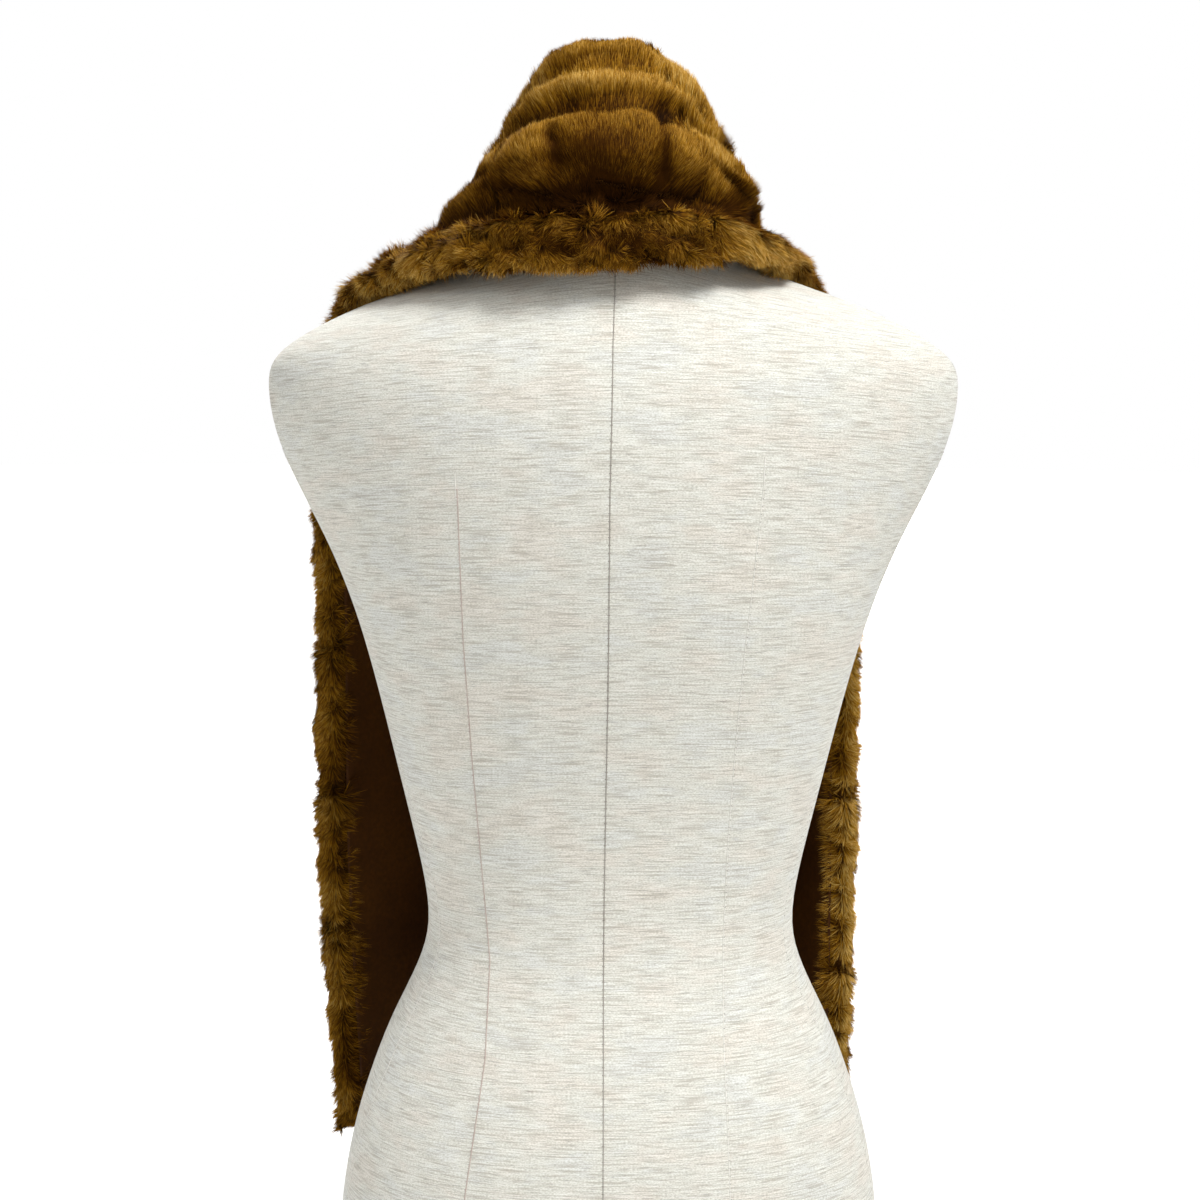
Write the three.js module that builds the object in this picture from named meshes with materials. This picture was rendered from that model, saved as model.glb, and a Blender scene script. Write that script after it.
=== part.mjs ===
// A sheared-fur collar wrap, worn by a limbless dress form that stands on its flat base.
// Millimetres, +Z up. The form faces -Y, so the wearer's left is +X. The tables have their origin
// on the form's own centre line, and the last lines move it under the middle of the whole.
// The wrap is one long strip of fifteen sewn pelts over a thin lining. It stands up round the
// neck in lengthwise folds, lies on the shoulders and hangs down in two fronts.
import * as THREE from 'three';

// The sizes of the wrap.
const PILE = 15; // fur wall, from the leather to the tips
const LINING_THICKNESS = 1.2;
const SEAM_GAP = 0.3; // between pelts at a join
const LINING_GAP = 0.6; // between the lining and the leather, which is less on a steep crease
const CLEARANCE = 1.6; // between the lining and the form
const EDGE_ROUND = 10; // the fur rounds over the wrap's edges this far in
const LINING_INSET = 13; // the lining stops this short of the edge
const ROUNDING_PLACES = [0, 1.5, 5]; // mm from an edge or hem, where the rounding has points
const HEM_TIP = 0.1; // mm, keeps the hem's last row a little open
const SHEET_WIDTH = 180; // of the strip, outer edge to neck edge

// The form's horizontal sections. half is the half width, mid the y of the widest point, front
// and back the y of the surface on the centre line, and power how square the section is.
const FORM_SECTIONS = [
  { z: 0, half: 146, mid: 6, front: -92, back: 104, power: 2.3 },
  { z: 40, half: 154, mid: 6, front: -98, back: 116, power: 2.3 },
  { z: 80, half: 157, mid: 6, front: -101, back: 123, power: 2.3 },
  { z: 120, half: 154, mid: 5, front: -101, back: 123, power: 2.3 },
  { z: 155, half: 147, mid: 4, front: -99, back: 117, power: 2.3 },
  { z: 186, half: 137, mid: 3, front: -96, back: 107, power: 2.25 },
  { z: 214, half: 126, mid: 1, front: -91, back: 95, power: 2.25 },
  { z: 242, half: 111, mid: 0, front: -86, back: 83, power: 2.2 },
  { z: 268, half: 103, mid: -1, front: -83, back: 76, power: 2.2 },
  { z: 300, half: 108, mid: -1, front: -84, back: 75, power: 2.2 },
  { z: 341, half: 118, mid: 0, front: -93, back: 79, power: 2.2 },
  { z: 387, half: 129, mid: 1, front: -109, back: 87, power: 2.15 },
  { z: 425, half: 138.5, mid: 2, front: -121, back: 95, power: 2.1 },
  { z: 459, half: 149, mid: 3, front: -124, back: 101, power: 2.05 },
  { z: 490, half: 162, mid: 4, front: -119, back: 105, power: 1.9 },
  { z: 522, half: 179, mid: 6, front: -111, back: 107, power: 1.75 },
  { z: 550, half: 191, mid: 8, front: -103, back: 106, power: 1.7 },
  { z: 576, half: 194.5, mid: 10, front: -93, back: 102, power: 1.7 },
  { z: 590, half: 192, mid: 11, front: -85, back: 97, power: 1.7 },
  { z: 601, half: 178, mid: 12, front: -78, back: 93, power: 1.75 },
  { z: 611, half: 160, mid: 12, front: -72, back: 88, power: 1.8 },
  { z: 621, half: 138, mid: 12, front: -66, back: 83, power: 1.85 },
  { z: 630, half: 112, mid: 11, front: -61, back: 78, power: 1.9 },
  { z: 638, half: 89, mid: 9, front: -57, back: 72, power: 1.95 },
  { z: 647, half: 70, mid: 7, front: -53, back: 65, power: 2 },
  { z: 658, half: 58, mid: 4, front: -50, back: 58, power: 2 },
  { z: 672, half: 51, mid: 1, front: -49, back: 52, power: 2 },
  { z: 688, half: 49, mid: -1, front: -49, back: 48, power: 2 },
  { z: 693, half: 45, mid: -1, front: -45, back: 44, power: 2 },
];
const FORM_SIDES = 44;
const BUST = { x: 76, z: 448, rise: 13, wide: 46, tall: 52 };

// The wrap's sections, from the right hem over the neck to the left hem. outer is the edge that
// lies on the back and shoulders, neck the edge that stands round the neck, and bulge how far
// the middle of the section stands outside the straight line between them.
const WRAP_SECTIONS = [
  { outerX: -144, outerY: -70, outerZ: 116, neckX: 0, neckY: -122, neckZ: 116, bulge: 22 },
  { outerX: -146, outerY: -68, outerZ: 200, neckX: 0, neckY: -124, neckZ: 200, bulge: 24 },
  { outerX: -146, outerY: -68, outerZ: 300, neckX: 1, neckY: -128, neckZ: 300, bulge: 26 },
  { outerX: -144, outerY: -69, outerZ: 400, neckX: 1, neckY: -132, neckZ: 400, bulge: 28 },
  { outerX: -142, outerY: -66, outerZ: 480, neckX: 0, neckY: -133, neckZ: 478, bulge: 26 },
  { outerX: -134, outerY: -56, outerZ: 545, neckX: -4, neckY: -122, neckZ: 548, bulge: 24 },
  { outerX: -118, outerY: -36, outerZ: 598, neckX: -14, neckY: -108, neckZ: 613, bulge: 20 },
  { outerX: -105, outerY: -6, outerZ: 624, neckX: -31, neckY: -75, neckZ: 667, bulge: 6 },
  { outerX: -97, outerY: 24, outerZ: 631, neckX: -44, neckY: -28, neckZ: 705, bulge: -9 },
  { outerX: -80, outerY: 52, outerZ: 637, neckX: -33, neckY: 6, neckZ: 737, bulge: -3 },
  { outerX: -44, outerY: 70, outerZ: 642, neckX: -12, neckY: 20, neckZ: 754, bulge: 5 },
  { outerX: 6, outerY: 77, outerZ: 638, neckX: 8, neckY: 22, neckZ: 757, bulge: 9 },
  { outerX: 58, outerY: 71, outerZ: 636, neckX: 28, neckY: 14, neckZ: 750, bulge: 5 },
  { outerX: 102, outerY: 50, outerZ: 632, neckX: 42, neckY: -4, neckZ: 724, bulge: -4 },
  { outerX: 134, outerY: 22, outerZ: 622, neckX: 50, neckY: -34, neckZ: 694, bulge: -8 },
  { outerX: 149, outerY: -8, outerZ: 612, neckX: 46, neckY: -68, neckZ: 656, bulge: -6 },
  { outerX: 158, outerY: -36, outerZ: 586, neckX: 34, neckY: -103, neckZ: 606, bulge: 10 },
  { outerX: 163, outerY: -54, outerZ: 540, neckX: 22, neckY: -122, neckZ: 548, bulge: 24 },
  { outerX: 165, outerY: -64, outerZ: 480, neckX: 18, neckY: -133, neckZ: 478, bulge: 27 },
  { outerX: 165, outerY: -68, outerZ: 400, neckX: 17, neckY: -132, neckZ: 400, bulge: 28 },
  { outerX: 165, outerY: -68, outerZ: 300, neckX: 16, neckY: -128, neckZ: 300, bulge: 27 },
  { outerX: 161, outerY: -71, outerZ: 200, neckX: 15, neckY: -124, neckZ: 200, bulge: 25 },
  { outerX: 156, outerY: -75, outerZ: 116, neckX: 14, neckY: -122, neckZ: 116, bulge: 23 },
];
const CENTRE_BACK = 11; // the row of WRAP_SECTIONS at the centre back

// The pelts, from the right hem to the left hem. to is where each ends, in mm along the wrap's
// middle line from the centre back, wearer's left positive. step is the spacing of its rows and
// columns how many strips it has across.
const PELTS = [
  { name: 'pelt_right_hem', to: -595, step: 26, columns: 9 },
  { name: 'pelt_right_hip', to: -487, step: 27, columns: 9 },
  { name: 'pelt_right_waist', to: -400, step: 29, columns: 9 },
  { name: 'pelt_right_bust', to: -310, step: 30, columns: 9 },
  { name: 'pelt_right_chest', to: -215, step: 19, columns: 18 },
  { name: 'pelt_right_shoulder', to: -125, step: 13, columns: 18 },
  { name: 'pelt_right_neck', to: -40, step: 11, columns: 18 },
  { name: 'pelt_nape', to: 50, step: 11, columns: 18 },
  { name: 'pelt_left_neck', to: 140, step: 11, columns: 18 },
  { name: 'pelt_left_shoulder', to: 225, step: 13, columns: 18 },
  { name: 'pelt_left_chest', to: 302, step: 19, columns: 18 },
  { name: 'pelt_left_bust', to: 390, step: 29, columns: 9 },
  { name: 'pelt_left_waist', to: 478, step: 29, columns: 9 },
  { name: 'pelt_left_hip', to: 561, step: 27, columns: 9 },
  { name: 'pelt_left_hem', to: Infinity, step: 29, columns: 9 },
];
const SEAM_DIP = { depth: 3, width: 9 }; // the pile sinks a little at each sewn join

// The lining's pieces, each over a run of whole pelts.
const LINING_PIECES = [
  { name: 'lining_right_front', from: 'pelt_right_hem', to: 'pelt_right_bust' },
  { name: 'lining_collar', from: 'pelt_right_chest', to: 'pelt_left_chest' },
  { name: 'lining_left_front', from: 'pelt_left_bust', to: 'pelt_left_hem' },
];

// Lengthwise creases of the standing collar, between its rolls of fur. back, left and right are
// the crease's place across the strip at the centre back and at either shoulder, where 0 is the
// outer edge and 1 the neck edge. turn is how far the leather itself folds in, and part how far
// the pile parts over it. leftEnd and rightEnd say where along the wrap it has died out.
const CREASES = [
  { back: 0.27, left: 0.34, right: 0.27, turn: 9, part: 5, width: 10.5, leftEnd: 240, rightEnd: -240 },
  { back: 0.66, left: 0.66, right: 0.52, turn: 6, part: 5, width: 8, leftEnd: 210, rightEnd: -260 },
  { back: 0.83, left: 0.85, right: 0.73, turn: 4, part: 4, width: 6, leftEnd: 180, rightEnd: -230 },
];
const SHOULDER_RUN = 140; // mm along the wrap from the centre back to the top of a shoulder
const CREASE_WHOLE = 0.4; // the share of its length over which a crease keeps its full depth
const LOBE = { place: 0.46, width: 34, rise: 6, run: 70 }; // the full roll at the nape

// Soft upright folds of the hanging fronts: depth at the hem, how many across, and their phase.
const HANGING_FOLDS = {
  left: { depth: 5, count: 1.5, phase: 0.1 },
  right: { depth: 7, count: 1.8, phase: 0.35 },
};
const FOLDS_START = 230; // mm from the centre back
const FOLDS_FULL = 520;

const { clamp, lerp, smoothstep } = THREE.MathUtils;

// Reads a table as a smooth curve: the value of a column where the place column is at.
function readTable(rows, place, column, at) {
  const last = rows.length - 1;
  let i = 0;
  while (i < last - 1 && at > rows[i + 1][place]) i += 1;
  const slope = (k) => {
    const before = rows[Math.max(k - 1, 0)];
    const after = rows[Math.min(k + 1, last)];
    return (after[column] - before[column]) / (after[place] - before[place]);
  };
  const span = rows[i + 1][place] - rows[i][place];
  const t = clamp((at - rows[i][place]) / span, 0, 1);
  const ease = t * t * (3 - 2 * t);
  const curve = slope(i) * t * (1 - t) * (1 - t) - slope(i + 1) * t * t * (1 - t);
  return lerp(rows[i][column], rows[i + 1][column], ease) + span * curve;
}

function formSection(z) {
  const read = (column) => readTable(FORM_SECTIONS, 'z', column, z);
  return {
    half: read('half'), mid: read('mid'), front: read('front'), back: read('back'), power: read('power'),
  };
}

// How much further forward the bust stands than the plain section.
function bustRise(x, z) {
  const across = (Math.abs(x) - BUST.x) / BUST.wide;
  const up = (z - BUST.z) / BUST.tall;
  return BUST.rise * Math.exp(-(across * across + up * up) / 2);
}

// Below 1 inside the form's section at this height, and above 1 outside it.
function formMeasure(p) {
  const s = formSection(clamp(p.z, 0, FORM_SECTIONS.at(-1).z));
  const depth = p.y < s.mid ? s.mid - s.front + bustRise(p.x, p.z) : s.back - s.mid;
  const across = Math.abs(p.x) / s.half;
  const along = Math.abs(p.y - s.mid) / depth;
  return (across ** s.power + along ** s.power) ** (1 / s.power);
}

// How far outside the form a point is, about, and which way is straight out of it there.
function fromForm(p) {
  const step = 0.5;
  const here = formMeasure(p);
  const outwards = new THREE.Vector3();
  for (const axis of ['x', 'y', 'z']) {
    const beside = p.clone();
    beside[axis] += step;
    outwards[axis] = (formMeasure(beside) - here) / step;
  }
  const distance = (here - 1) / outwards.length();
  return { distance, outwards: outwards.normalize() };
}

// Moves a point that is too near the form straight out of it, until it clears it by gap.
function clearOfForm(p, gap) {
  const top = FORM_SECTIONS.at(-1).z;
  const closeEnough = 0.02;
  const passes = 8;
  const out = p.clone();
  if (out.z > top + gap) return out;
  for (let pass = 0; pass < passes; pass += 1) {
    const { distance, outwards } = fromForm(out);
    if (distance >= gap - closeEnough) break;
    out.addScaledVector(outwards, gap - distance);
  }
  return out;
}

// Makes a closed body from rings of equal length. Each end is closed by the triangles that cap
// gives, as indices into that ring, or by a fan round a centre point.
function loft(rings, capTriangles) {
  const count = rings[0].length;
  const points = rings.flat();
  const faces = [];
  for (let r = 0; r + 1 < rings.length; r += 1) {
    for (let k = 0; k < count; k += 1) {
      const a = r * count + k;
      const b = r * count + ((k + 1) % count);
      faces.push([a, b, b + count], [a, b + count, a + count]);
    }
  }
  for (const [ring, turn] of [[0, true], [rings.length - 1, false]]) {
    const offset = ring * count;
    let cap = capTriangles?.map((t) => t.map((k) => k + offset));
    if (!cap) {
      const centre = new THREE.Vector3();
      rings[ring].forEach((p) => centre.addScaledVector(p, 1 / count));
      points.push(centre);
      cap = rings[ring].map((_, k) => [points.length - 1, offset + k, offset + ((k + 1) % count)]);
    }
    faces.push(...cap.map(([a, b, c]) => (turn ? [a, c, b] : [a, b, c])));
  }
  return closedGeometry(points, faces);
}

// A geometry whose faces point out, whichever way round the rings were given.
function closedGeometry(points, faces) {
  let volume = 0;
  for (const [a, b, c] of faces) {
    volume += points[a].dot(new THREE.Vector3().crossVectors(points[b], points[c]));
  }
  const index = volume > 0 ? faces : faces.map(([a, b, c]) => [a, c, b]);
  const geometry = new THREE.BufferGeometry().setFromPoints(points);
  geometry.setIndex(index.flat());
  geometry.computeVertexNormals();
  return geometry;
}

function dressForm() {
  const rings = FORM_SECTIONS.map(({ z }) => {
    const s = formSection(z);
    return Array.from({ length: FORM_SIDES }, (_, k) => {
      const angle = (k / FORM_SIDES) * 2 * Math.PI;
      const across = Math.sign(Math.cos(angle)) * Math.abs(Math.cos(angle)) ** (2 / s.power);
      const along = Math.sign(Math.sin(angle)) * Math.abs(Math.sin(angle)) ** (2 / s.power);
      const x = s.half * across;
      const front = s.mid - s.front + bustRise(x, z);
      return new THREE.Vector3(x, s.mid + along * (along < 0 ? front : s.back - s.mid), z);
    });
  });
  return loft(rings);
}

// Adds to each section its run: its distance along the wrap's middle line from the centre back.
function measureRuns(sections) {
  const middles = sections.map((s) => new THREE.Vector3(
    (s.outerX + s.neckX) / 2, (s.outerY + s.neckY) / 2, (s.outerZ + s.neckZ) / 2,
  ));
  let total = 0;
  const runs = middles.map((m, i) => {
    total += i ? m.distanceTo(middles[i - 1]) : 0;
    return total;
  });
  return sections.map((s, i) => ({ ...s, run: runs[i] - runs[CENTRE_BACK] }));
}

const SECTIONS = measureRuns(WRAP_SECTIONS);
const RUN_START = SECTIONS[0].run;
const RUN_END = SECTIONS.at(-1).run;

// The soft upright fold of a hanging front, at a place along and across it.
function hangingFold(run, across) {
  const fold = run > 0 ? HANGING_FOLDS.left : HANGING_FOLDS.right;
  const grown = smoothstep(Math.abs(run), FOLDS_START, FOLDS_FULL);
  const atEdges = Math.sin(Math.PI * clamp(across, 0, 1)) ** 0.5;
  return fold.depth * grown * atEdges * Math.cos(2 * Math.PI * (fold.count * across + fold.phase));
}

// A point of the wrap's inner face before its creases, and the way out from it. run is along
// the strip and across runs from 0 at the outer edge to 1 at the neck edge.
function smoothFace(run, across) {
  const read = (column) => readTable(SECTIONS, 'run', column, run);
  const outer = new THREE.Vector3(read('outerX'), read('outerY'), read('outerZ'));
  const neck = new THREE.Vector3(read('neckX'), read('neckY'), read('neckZ'));
  const chord = neck.clone().sub(outer);
  const outwards = chord.clone().cross(middleDirection(run)).normalize();
  const bow = read('bulge') * 4 * across * (1 - across) + hangingFold(run, across);
  const p = outer.addScaledVector(chord, across).addScaledVector(outwards, bow);
  return clearOfForm(p, CLEARANCE);
}

// The direction of the wrap's middle line.
function middleDirection(run) {
  const step = 5;
  const ahead = Math.min(run + step, RUN_END);
  const behind = Math.max(run - step, RUN_START);
  const middle = (axis, at) => (
    readTable(SECTIONS, 'run', `outer${axis}`, at) + readTable(SECTIONS, 'run', `neck${axis}`, at)) / 2;
  return new THREE.Vector3(...['X', 'Y', 'Z'].map((axis) => middle(axis, ahead) - middle(axis, behind)));
}

// The outward direction of the smooth face, from points a little way along and across.
function faceNormal(run, across) {
  const alongStep = 6;
  const acrossStep = 0.04;
  const a = smoothFace(Math.min(run + alongStep, RUN_END), across);
  a.sub(smoothFace(Math.max(run - alongStep, RUN_START), across));
  const c = smoothFace(run, Math.min(across + acrossStep, 1));
  c.sub(smoothFace(run, Math.max(across - acrossStep, 0)));
  return c.cross(a).normalize();
}

// How deep the creases are at a place, by one of their two depths.
function creaseDepth(run, across, depth) {
  const toShoulder = smoothstep(Math.abs(run), 0, SHOULDER_RUN);
  return CREASES.reduce((sum, crease) => {
    const place = lerp(crease.back, run > 0 ? crease.left : crease.right, toShoulder);
    const end = Math.abs(run > 0 ? crease.leftEnd : crease.rightEnd);
    const fade = 1 - smoothstep(Math.abs(run), end * CREASE_WHOLE, end);
    const off = ((across - place) * SHEET_WIDTH) / crease.width;
    return sum + crease[depth] * fade * Math.exp(-off * off);
  }, 0);
}

// A point of the wrap's inner face, creases and all. A crease stops where the form is.
function innerFace(run, across, normal) {
  const p = smoothFace(run, across);
  const room = Math.max(fromForm(p).distance - CLEARANCE, 0);
  return p.addScaledVector(normal, -Math.min(creaseDepth(run, across, 'turn'), room));
}

// The height of the fur's tips over the leather, with its parted creases, rolls and sewn joins.
function pileHeight(run, across) {
  const lobeAcross = ((across - LOBE.place) * SHEET_WIDTH) / LOBE.width;
  const lobeAlong = run / LOBE.run;
  const lobe = LOBE.rise * Math.exp(-(lobeAcross * lobeAcross + lobeAlong * lobeAlong));
  const seams = PELTS.reduce(
    (sum, { to }) => sum + SEAM_DIP.depth * Math.exp(-(((run - to) / SEAM_DIP.width) ** 2)),
    0,
  );
  return PILE + lobe - seams - creaseDepth(run, across, 'part');
}

// 0 at an edge of the wrap, rising round to 1 where the fur has its full thickness.
function edgeRound(distance) {
  const t = clamp(distance / EDGE_ROUND, 0, 1);
  return Math.sqrt(1 - (1 - t) * (1 - t));
}

// Places across the strip, where 0 is the outer edge: a few close ones where the fur rounds over
// each edge, and even ones between. A pelt and its lining share them, so that they never cross.
function placesAcross(columns) {
  const edge = ROUNDING_PLACES.map((d) => d / SHEET_WIDTH);
  const first = LINING_INSET / SHEET_WIDTH;
  const middle = Array.from({ length: columns + 1 }, (_, k) => lerp(first, 1 - first, k / columns));
  return [...edge, ...middle, ...edge.map((a) => 1 - a).reverse()];
}

// Even rows between two places along the wrap, with a few close ones where a hem rounds over.
function rowsBetween(from, to, step, hemAtStart, hemAtEnd) {
  const start = hemAtStart ? from + LINING_INSET : from;
  const end = hemAtEnd ? to - LINING_INSET : to;
  const count = Math.round((end - start) / step);
  const rows = Array.from({ length: count + 1 }, (_, k) => lerp(start, end, k / count));
  if (hemAtStart) rows.unshift(...ROUNDING_PLACES.map((d) => from + d));
  if (hemAtEnd) rows.push(...ROUNDING_PLACES.map((d) => to - d).reverse());
  return rows;
}

// Every pelt with where it starts and ends and its rows, its sewn joins left a little open.
function layOutPelts() {
  let from = RUN_START;
  return PELTS.map((pelt, i) => {
    const first = i === 0;
    const last = i === PELTS.length - 1;
    const to = last ? RUN_END : pelt.to;
    const start = first ? from : from + SEAM_GAP / 2;
    const end = last ? to : to - SEAM_GAP / 2;
    from = to;
    return { ...pelt, rows: rowsBetween(start, end, pelt.step, first, last) };
  });
}

const LEATHER_OFFSET = LINING_THICKNESS + LINING_GAP;
const MIDDLE_OFFSET = LEATHER_OFFSET + PILE / 2;

// One row of a pelt as a ring: along its leather face and back along its fur.
function peltRing(run, places) {
  const hem = edgeRound(Math.min(run - RUN_START, RUN_END - run) + HEM_TIP);
  const leather = [];
  const fur = [];
  places.forEach((across) => {
    const full = edgeRound(Math.min(across, 1 - across) * SHEET_WIDTH) * hem;
    const normal = faceNormal(run, across);
    const face = innerFace(run, across, normal);
    const low = lerp(MIDDLE_OFFSET, LEATHER_OFFSET, full);
    const high = lerp(MIDDLE_OFFSET, LEATHER_OFFSET + pileHeight(run, across), full);
    leather.push(face.clone().addScaledVector(normal, low));
    fur.push(face.clone().addScaledVector(normal, high));
  });
  return [...leather, ...fur.slice(1, -1).reverse()];
}

// The triangles that close a pelt's end, between its leather row and its fur row.
function stripCap(columns) {
  const count = 2 * columns - 2;
  const opposite = (k) => (count - k) % count;
  const triangles = [[0, 1, opposite(1)]];
  for (let k = 1; k < columns - 2; k += 1) {
    triangles.push([k, k + 1, opposite(k + 1)], [k, opposite(k + 1), opposite(k)]);
  }
  triangles.push([columns - 2, columns - 1, opposite(columns - 2)]);
  return triangles;
}

// One row of the lining as a ring: along its outer face and back along its inner face.
function liningRing(run, places) {
  const inside = [];
  const outside = [];
  for (const across of places.slice(ROUNDING_PLACES.length, -ROUNDING_PLACES.length)) {
    const normal = faceNormal(run, across);
    const face = innerFace(run, across, normal);
    inside.push(face);
    outside.push(face.clone().addScaledVector(normal, LINING_THICKNESS));
  }
  return [...outside, ...inside.reverse()];
}

// The triangles that close the lining's end, between its outer row and its inner row.
function liningCap(columns) {
  const triangles = [];
  for (let k = 0; k < columns; k += 1) {
    const far = 2 * columns + 1 - k;
    triangles.push([k, k + 1, far - 1], [k, far - 1, far]);
  }
  return triangles;
}

// The lining's rows are its pelts' rows, with the two at a sewn join taken as one.
function liningRows(runPelts) {
  const rows = runPelts.flatMap((p) => p.rows);
  const joined = rows.filter((run, i) => i === 0 || run - rows[i - 1] > SEAM_GAP * 1.5);
  return joined.filter((run) => run >= RUN_START + LINING_INSET && run <= RUN_END - LINING_INSET);
}

const linen = new THREE.MeshStandardMaterial({ color: 0xe6e3da, roughness: 0.9, metalness: 0 });
const fur = new THREE.MeshStandardMaterial({ color: 0x7a5420, roughness: 0.95, metalness: 0 });
const satin = new THREE.MeshStandardMaterial({ color: 0x4a2c10, roughness: 0.6, metalness: 0 });

function piece(name, geometry, material) {
  const mesh = new THREE.Mesh(geometry, material);
  mesh.name = name;
  return mesh;
}

function peltPiece({ name, rows, columns }) {
  const places = placesAcross(columns);
  return piece(name, loft(rows.map((run) => peltRing(run, places)), stripCap(places.length)), fur);
}

function liningPiece({ name, from, to }, pelts) {
  const first = pelts.findIndex((p) => p.name === from);
  const last = pelts.findIndex((p) => p.name === to);
  const { columns } = pelts[first];
  const places = placesAcross(columns);
  const rings = liningRows(pelts.slice(first, last + 1)).map((run) => liningRing(run, places));
  return piece(name, loft(rings, liningCap(columns)), satin);
}

const pelts = layOutPelts();
const wrap = new THREE.Group();
wrap.add(piece('dress_form', dressForm(), linen));
wrap.add(...pelts.map(peltPiece));
wrap.add(...LINING_PIECES.map((lining) => liningPiece(lining, pelts)));

const middle = new THREE.Box3().setFromObject(wrap, true).getCenter(new THREE.Vector3());
wrap.position.set(-middle.x, -middle.y, 0);

export default wrap;
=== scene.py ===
# %% [markdown]
# A fur wrap is hard to draw because almost nothing of it is a surface: what we see is the sides
# and tips of many thousand hairs, and the dark between them. This lesson builds it in the order
# that a furrier would meet it: the dress form it lies on, the lining, the pelts' leather with its
# dense underfur, and last the hairs, which grow from that underfur in combed and curled locks.
# Everything is in metres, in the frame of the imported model, with +Z up and the form facing -Y.

# %% The frame
import math

import bmesh
import bpy
import numpy as np
from mathutils import Matrix, Vector
from mathutils.bvhtree import BVHTree


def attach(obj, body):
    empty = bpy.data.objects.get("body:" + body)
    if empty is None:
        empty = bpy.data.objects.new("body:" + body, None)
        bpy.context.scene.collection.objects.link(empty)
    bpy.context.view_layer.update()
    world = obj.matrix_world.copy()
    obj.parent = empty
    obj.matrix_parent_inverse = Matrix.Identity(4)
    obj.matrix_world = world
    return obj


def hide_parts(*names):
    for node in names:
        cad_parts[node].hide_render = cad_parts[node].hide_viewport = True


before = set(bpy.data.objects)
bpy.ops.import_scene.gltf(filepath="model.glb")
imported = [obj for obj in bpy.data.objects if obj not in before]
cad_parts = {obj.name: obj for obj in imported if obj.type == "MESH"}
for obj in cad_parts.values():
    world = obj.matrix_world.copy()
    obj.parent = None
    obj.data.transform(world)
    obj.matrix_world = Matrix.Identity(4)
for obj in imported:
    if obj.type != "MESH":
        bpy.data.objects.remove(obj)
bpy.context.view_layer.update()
MM = 0.001

# %% [markdown]
# The photograph looks at the wearer's back from a little above, with a lens of about 80 mm. The
# camera aims at the middle of the back. The small shift slides the picture without turning the
# camera, so that upright lines stay as upright as they are in the photograph.

# %% The camera
AIM = Vector((0.0, 0.0155, 0.436))
DISTANCE = 1.5
YAW, ELEVATION, ROLL = (math.radians(a) for a in (2.0, 7.0, 0.4))
FOCAL_MM = 79.0
SHIFT = (-12.5 / 1200, 32 / 1200)


def make_camera():
    back = Vector((
        math.sin(YAW) * math.cos(ELEVATION),
        math.cos(YAW) * math.cos(ELEVATION),
        math.sin(ELEVATION),
    ))
    right = Vector((0, 0, 1)).cross(back).normalized()
    up = back.cross(right)
    turned = right * math.cos(ROLL) + up * math.sin(ROLL)
    above = up * math.cos(ROLL) - right * math.sin(ROLL)
    camera = bpy.data.objects.new("camera", bpy.data.cameras.new("camera"))
    camera.matrix_world = Matrix((turned, above, back)).transposed().to_4x4()
    camera.location = AIM + back * DISTANCE
    camera.data.lens = FOCAL_MM
    camera.data.shift_x, camera.data.shift_y = SHIFT
    bpy.context.scene.collection.objects.link(camera)
    bpy.context.scene.camera = camera
    return camera


camera = make_camera()
print("camera at", [round(c, 3) for c in camera.location])

# %% [markdown]
# The studio is plain and white. Soft fur needs soft light with one clear direction, or its locks
# lose their shape. A wide lamp stands high on the right of the camera, a weak one fills from the
# left, a third lights the front, and a pale room the rest. Floor and room look whiter to the
# camera than they light the object, as an overexposed backdrop does.

# %% The studio
FLOOR_RADIUS = 9.0
ROOM_LIGHT, ROOM_SEEN = 0.39, 1.0
FLOOR_GLOW, GLOW_REACH = (0.3, 1.0), (0.4, 2.0)


def seen_by_camera(tree):
    return tree.nodes.new("ShaderNodeLightPath").outputs["Is Camera Ray"]


def mesh_object(name, points, faces, smooth=True):
    mesh = bpy.data.meshes.new(name)
    mesh.from_pydata([tuple(p) for p in points], [], faces)
    mesh.validate()
    if smooth:
        mesh.shade_smooth()
    piece = bpy.data.objects.new(name, mesh)
    bpy.context.scene.collection.objects.link(piece)
    return piece


def make_floor():
    steps = 96
    rim = [(FLOOR_RADIUS * math.cos(a), FLOOR_RADIUS * math.sin(a), 0.0)
           for a in (2 * math.pi * k / steps for k in range(steps))]
    floor = mesh_object("studio_floor", rim, [tuple(range(steps))], smooth=False)
    white = bpy.data.materials.new("studio_white")
    white.use_nodes = True
    shader = white.node_tree.nodes["Principled BSDF"]
    shader.inputs["Base Color"].default_value = (0.93, 0.93, 0.92, 1)
    shader.inputs["Roughness"].default_value = 0.9
    shader.inputs["Emission Color"].default_value = (1, 1, 1, 1)
    tree = white.node_tree
    away = tree.nodes.new("ShaderNodeVectorMath")
    away.operation = "LENGTH"
    tree.links.new(tree.nodes.new("ShaderNodeTexCoord").outputs["Object"], away.inputs[0])
    grow = tree.nodes.new("ShaderNodeMapRange")
    grow.inputs["From Min"].default_value, grow.inputs["From Max"].default_value = GLOW_REACH
    grow.inputs["To Min"].default_value, grow.inputs["To Max"].default_value = FLOOR_GLOW
    tree.links.new(away.outputs["Value"], grow.inputs["Value"])
    glow = tree.nodes.new("ShaderNodeMath")
    glow.operation = "MULTIPLY"
    tree.links.new(grow.outputs["Result"], glow.inputs[1])
    tree.links.new(seen_by_camera(tree), glow.inputs[0])
    tree.links.new(glow.outputs[0], shader.inputs["Emission Strength"])
    floor.data.materials.append(white)
    return floor


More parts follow.
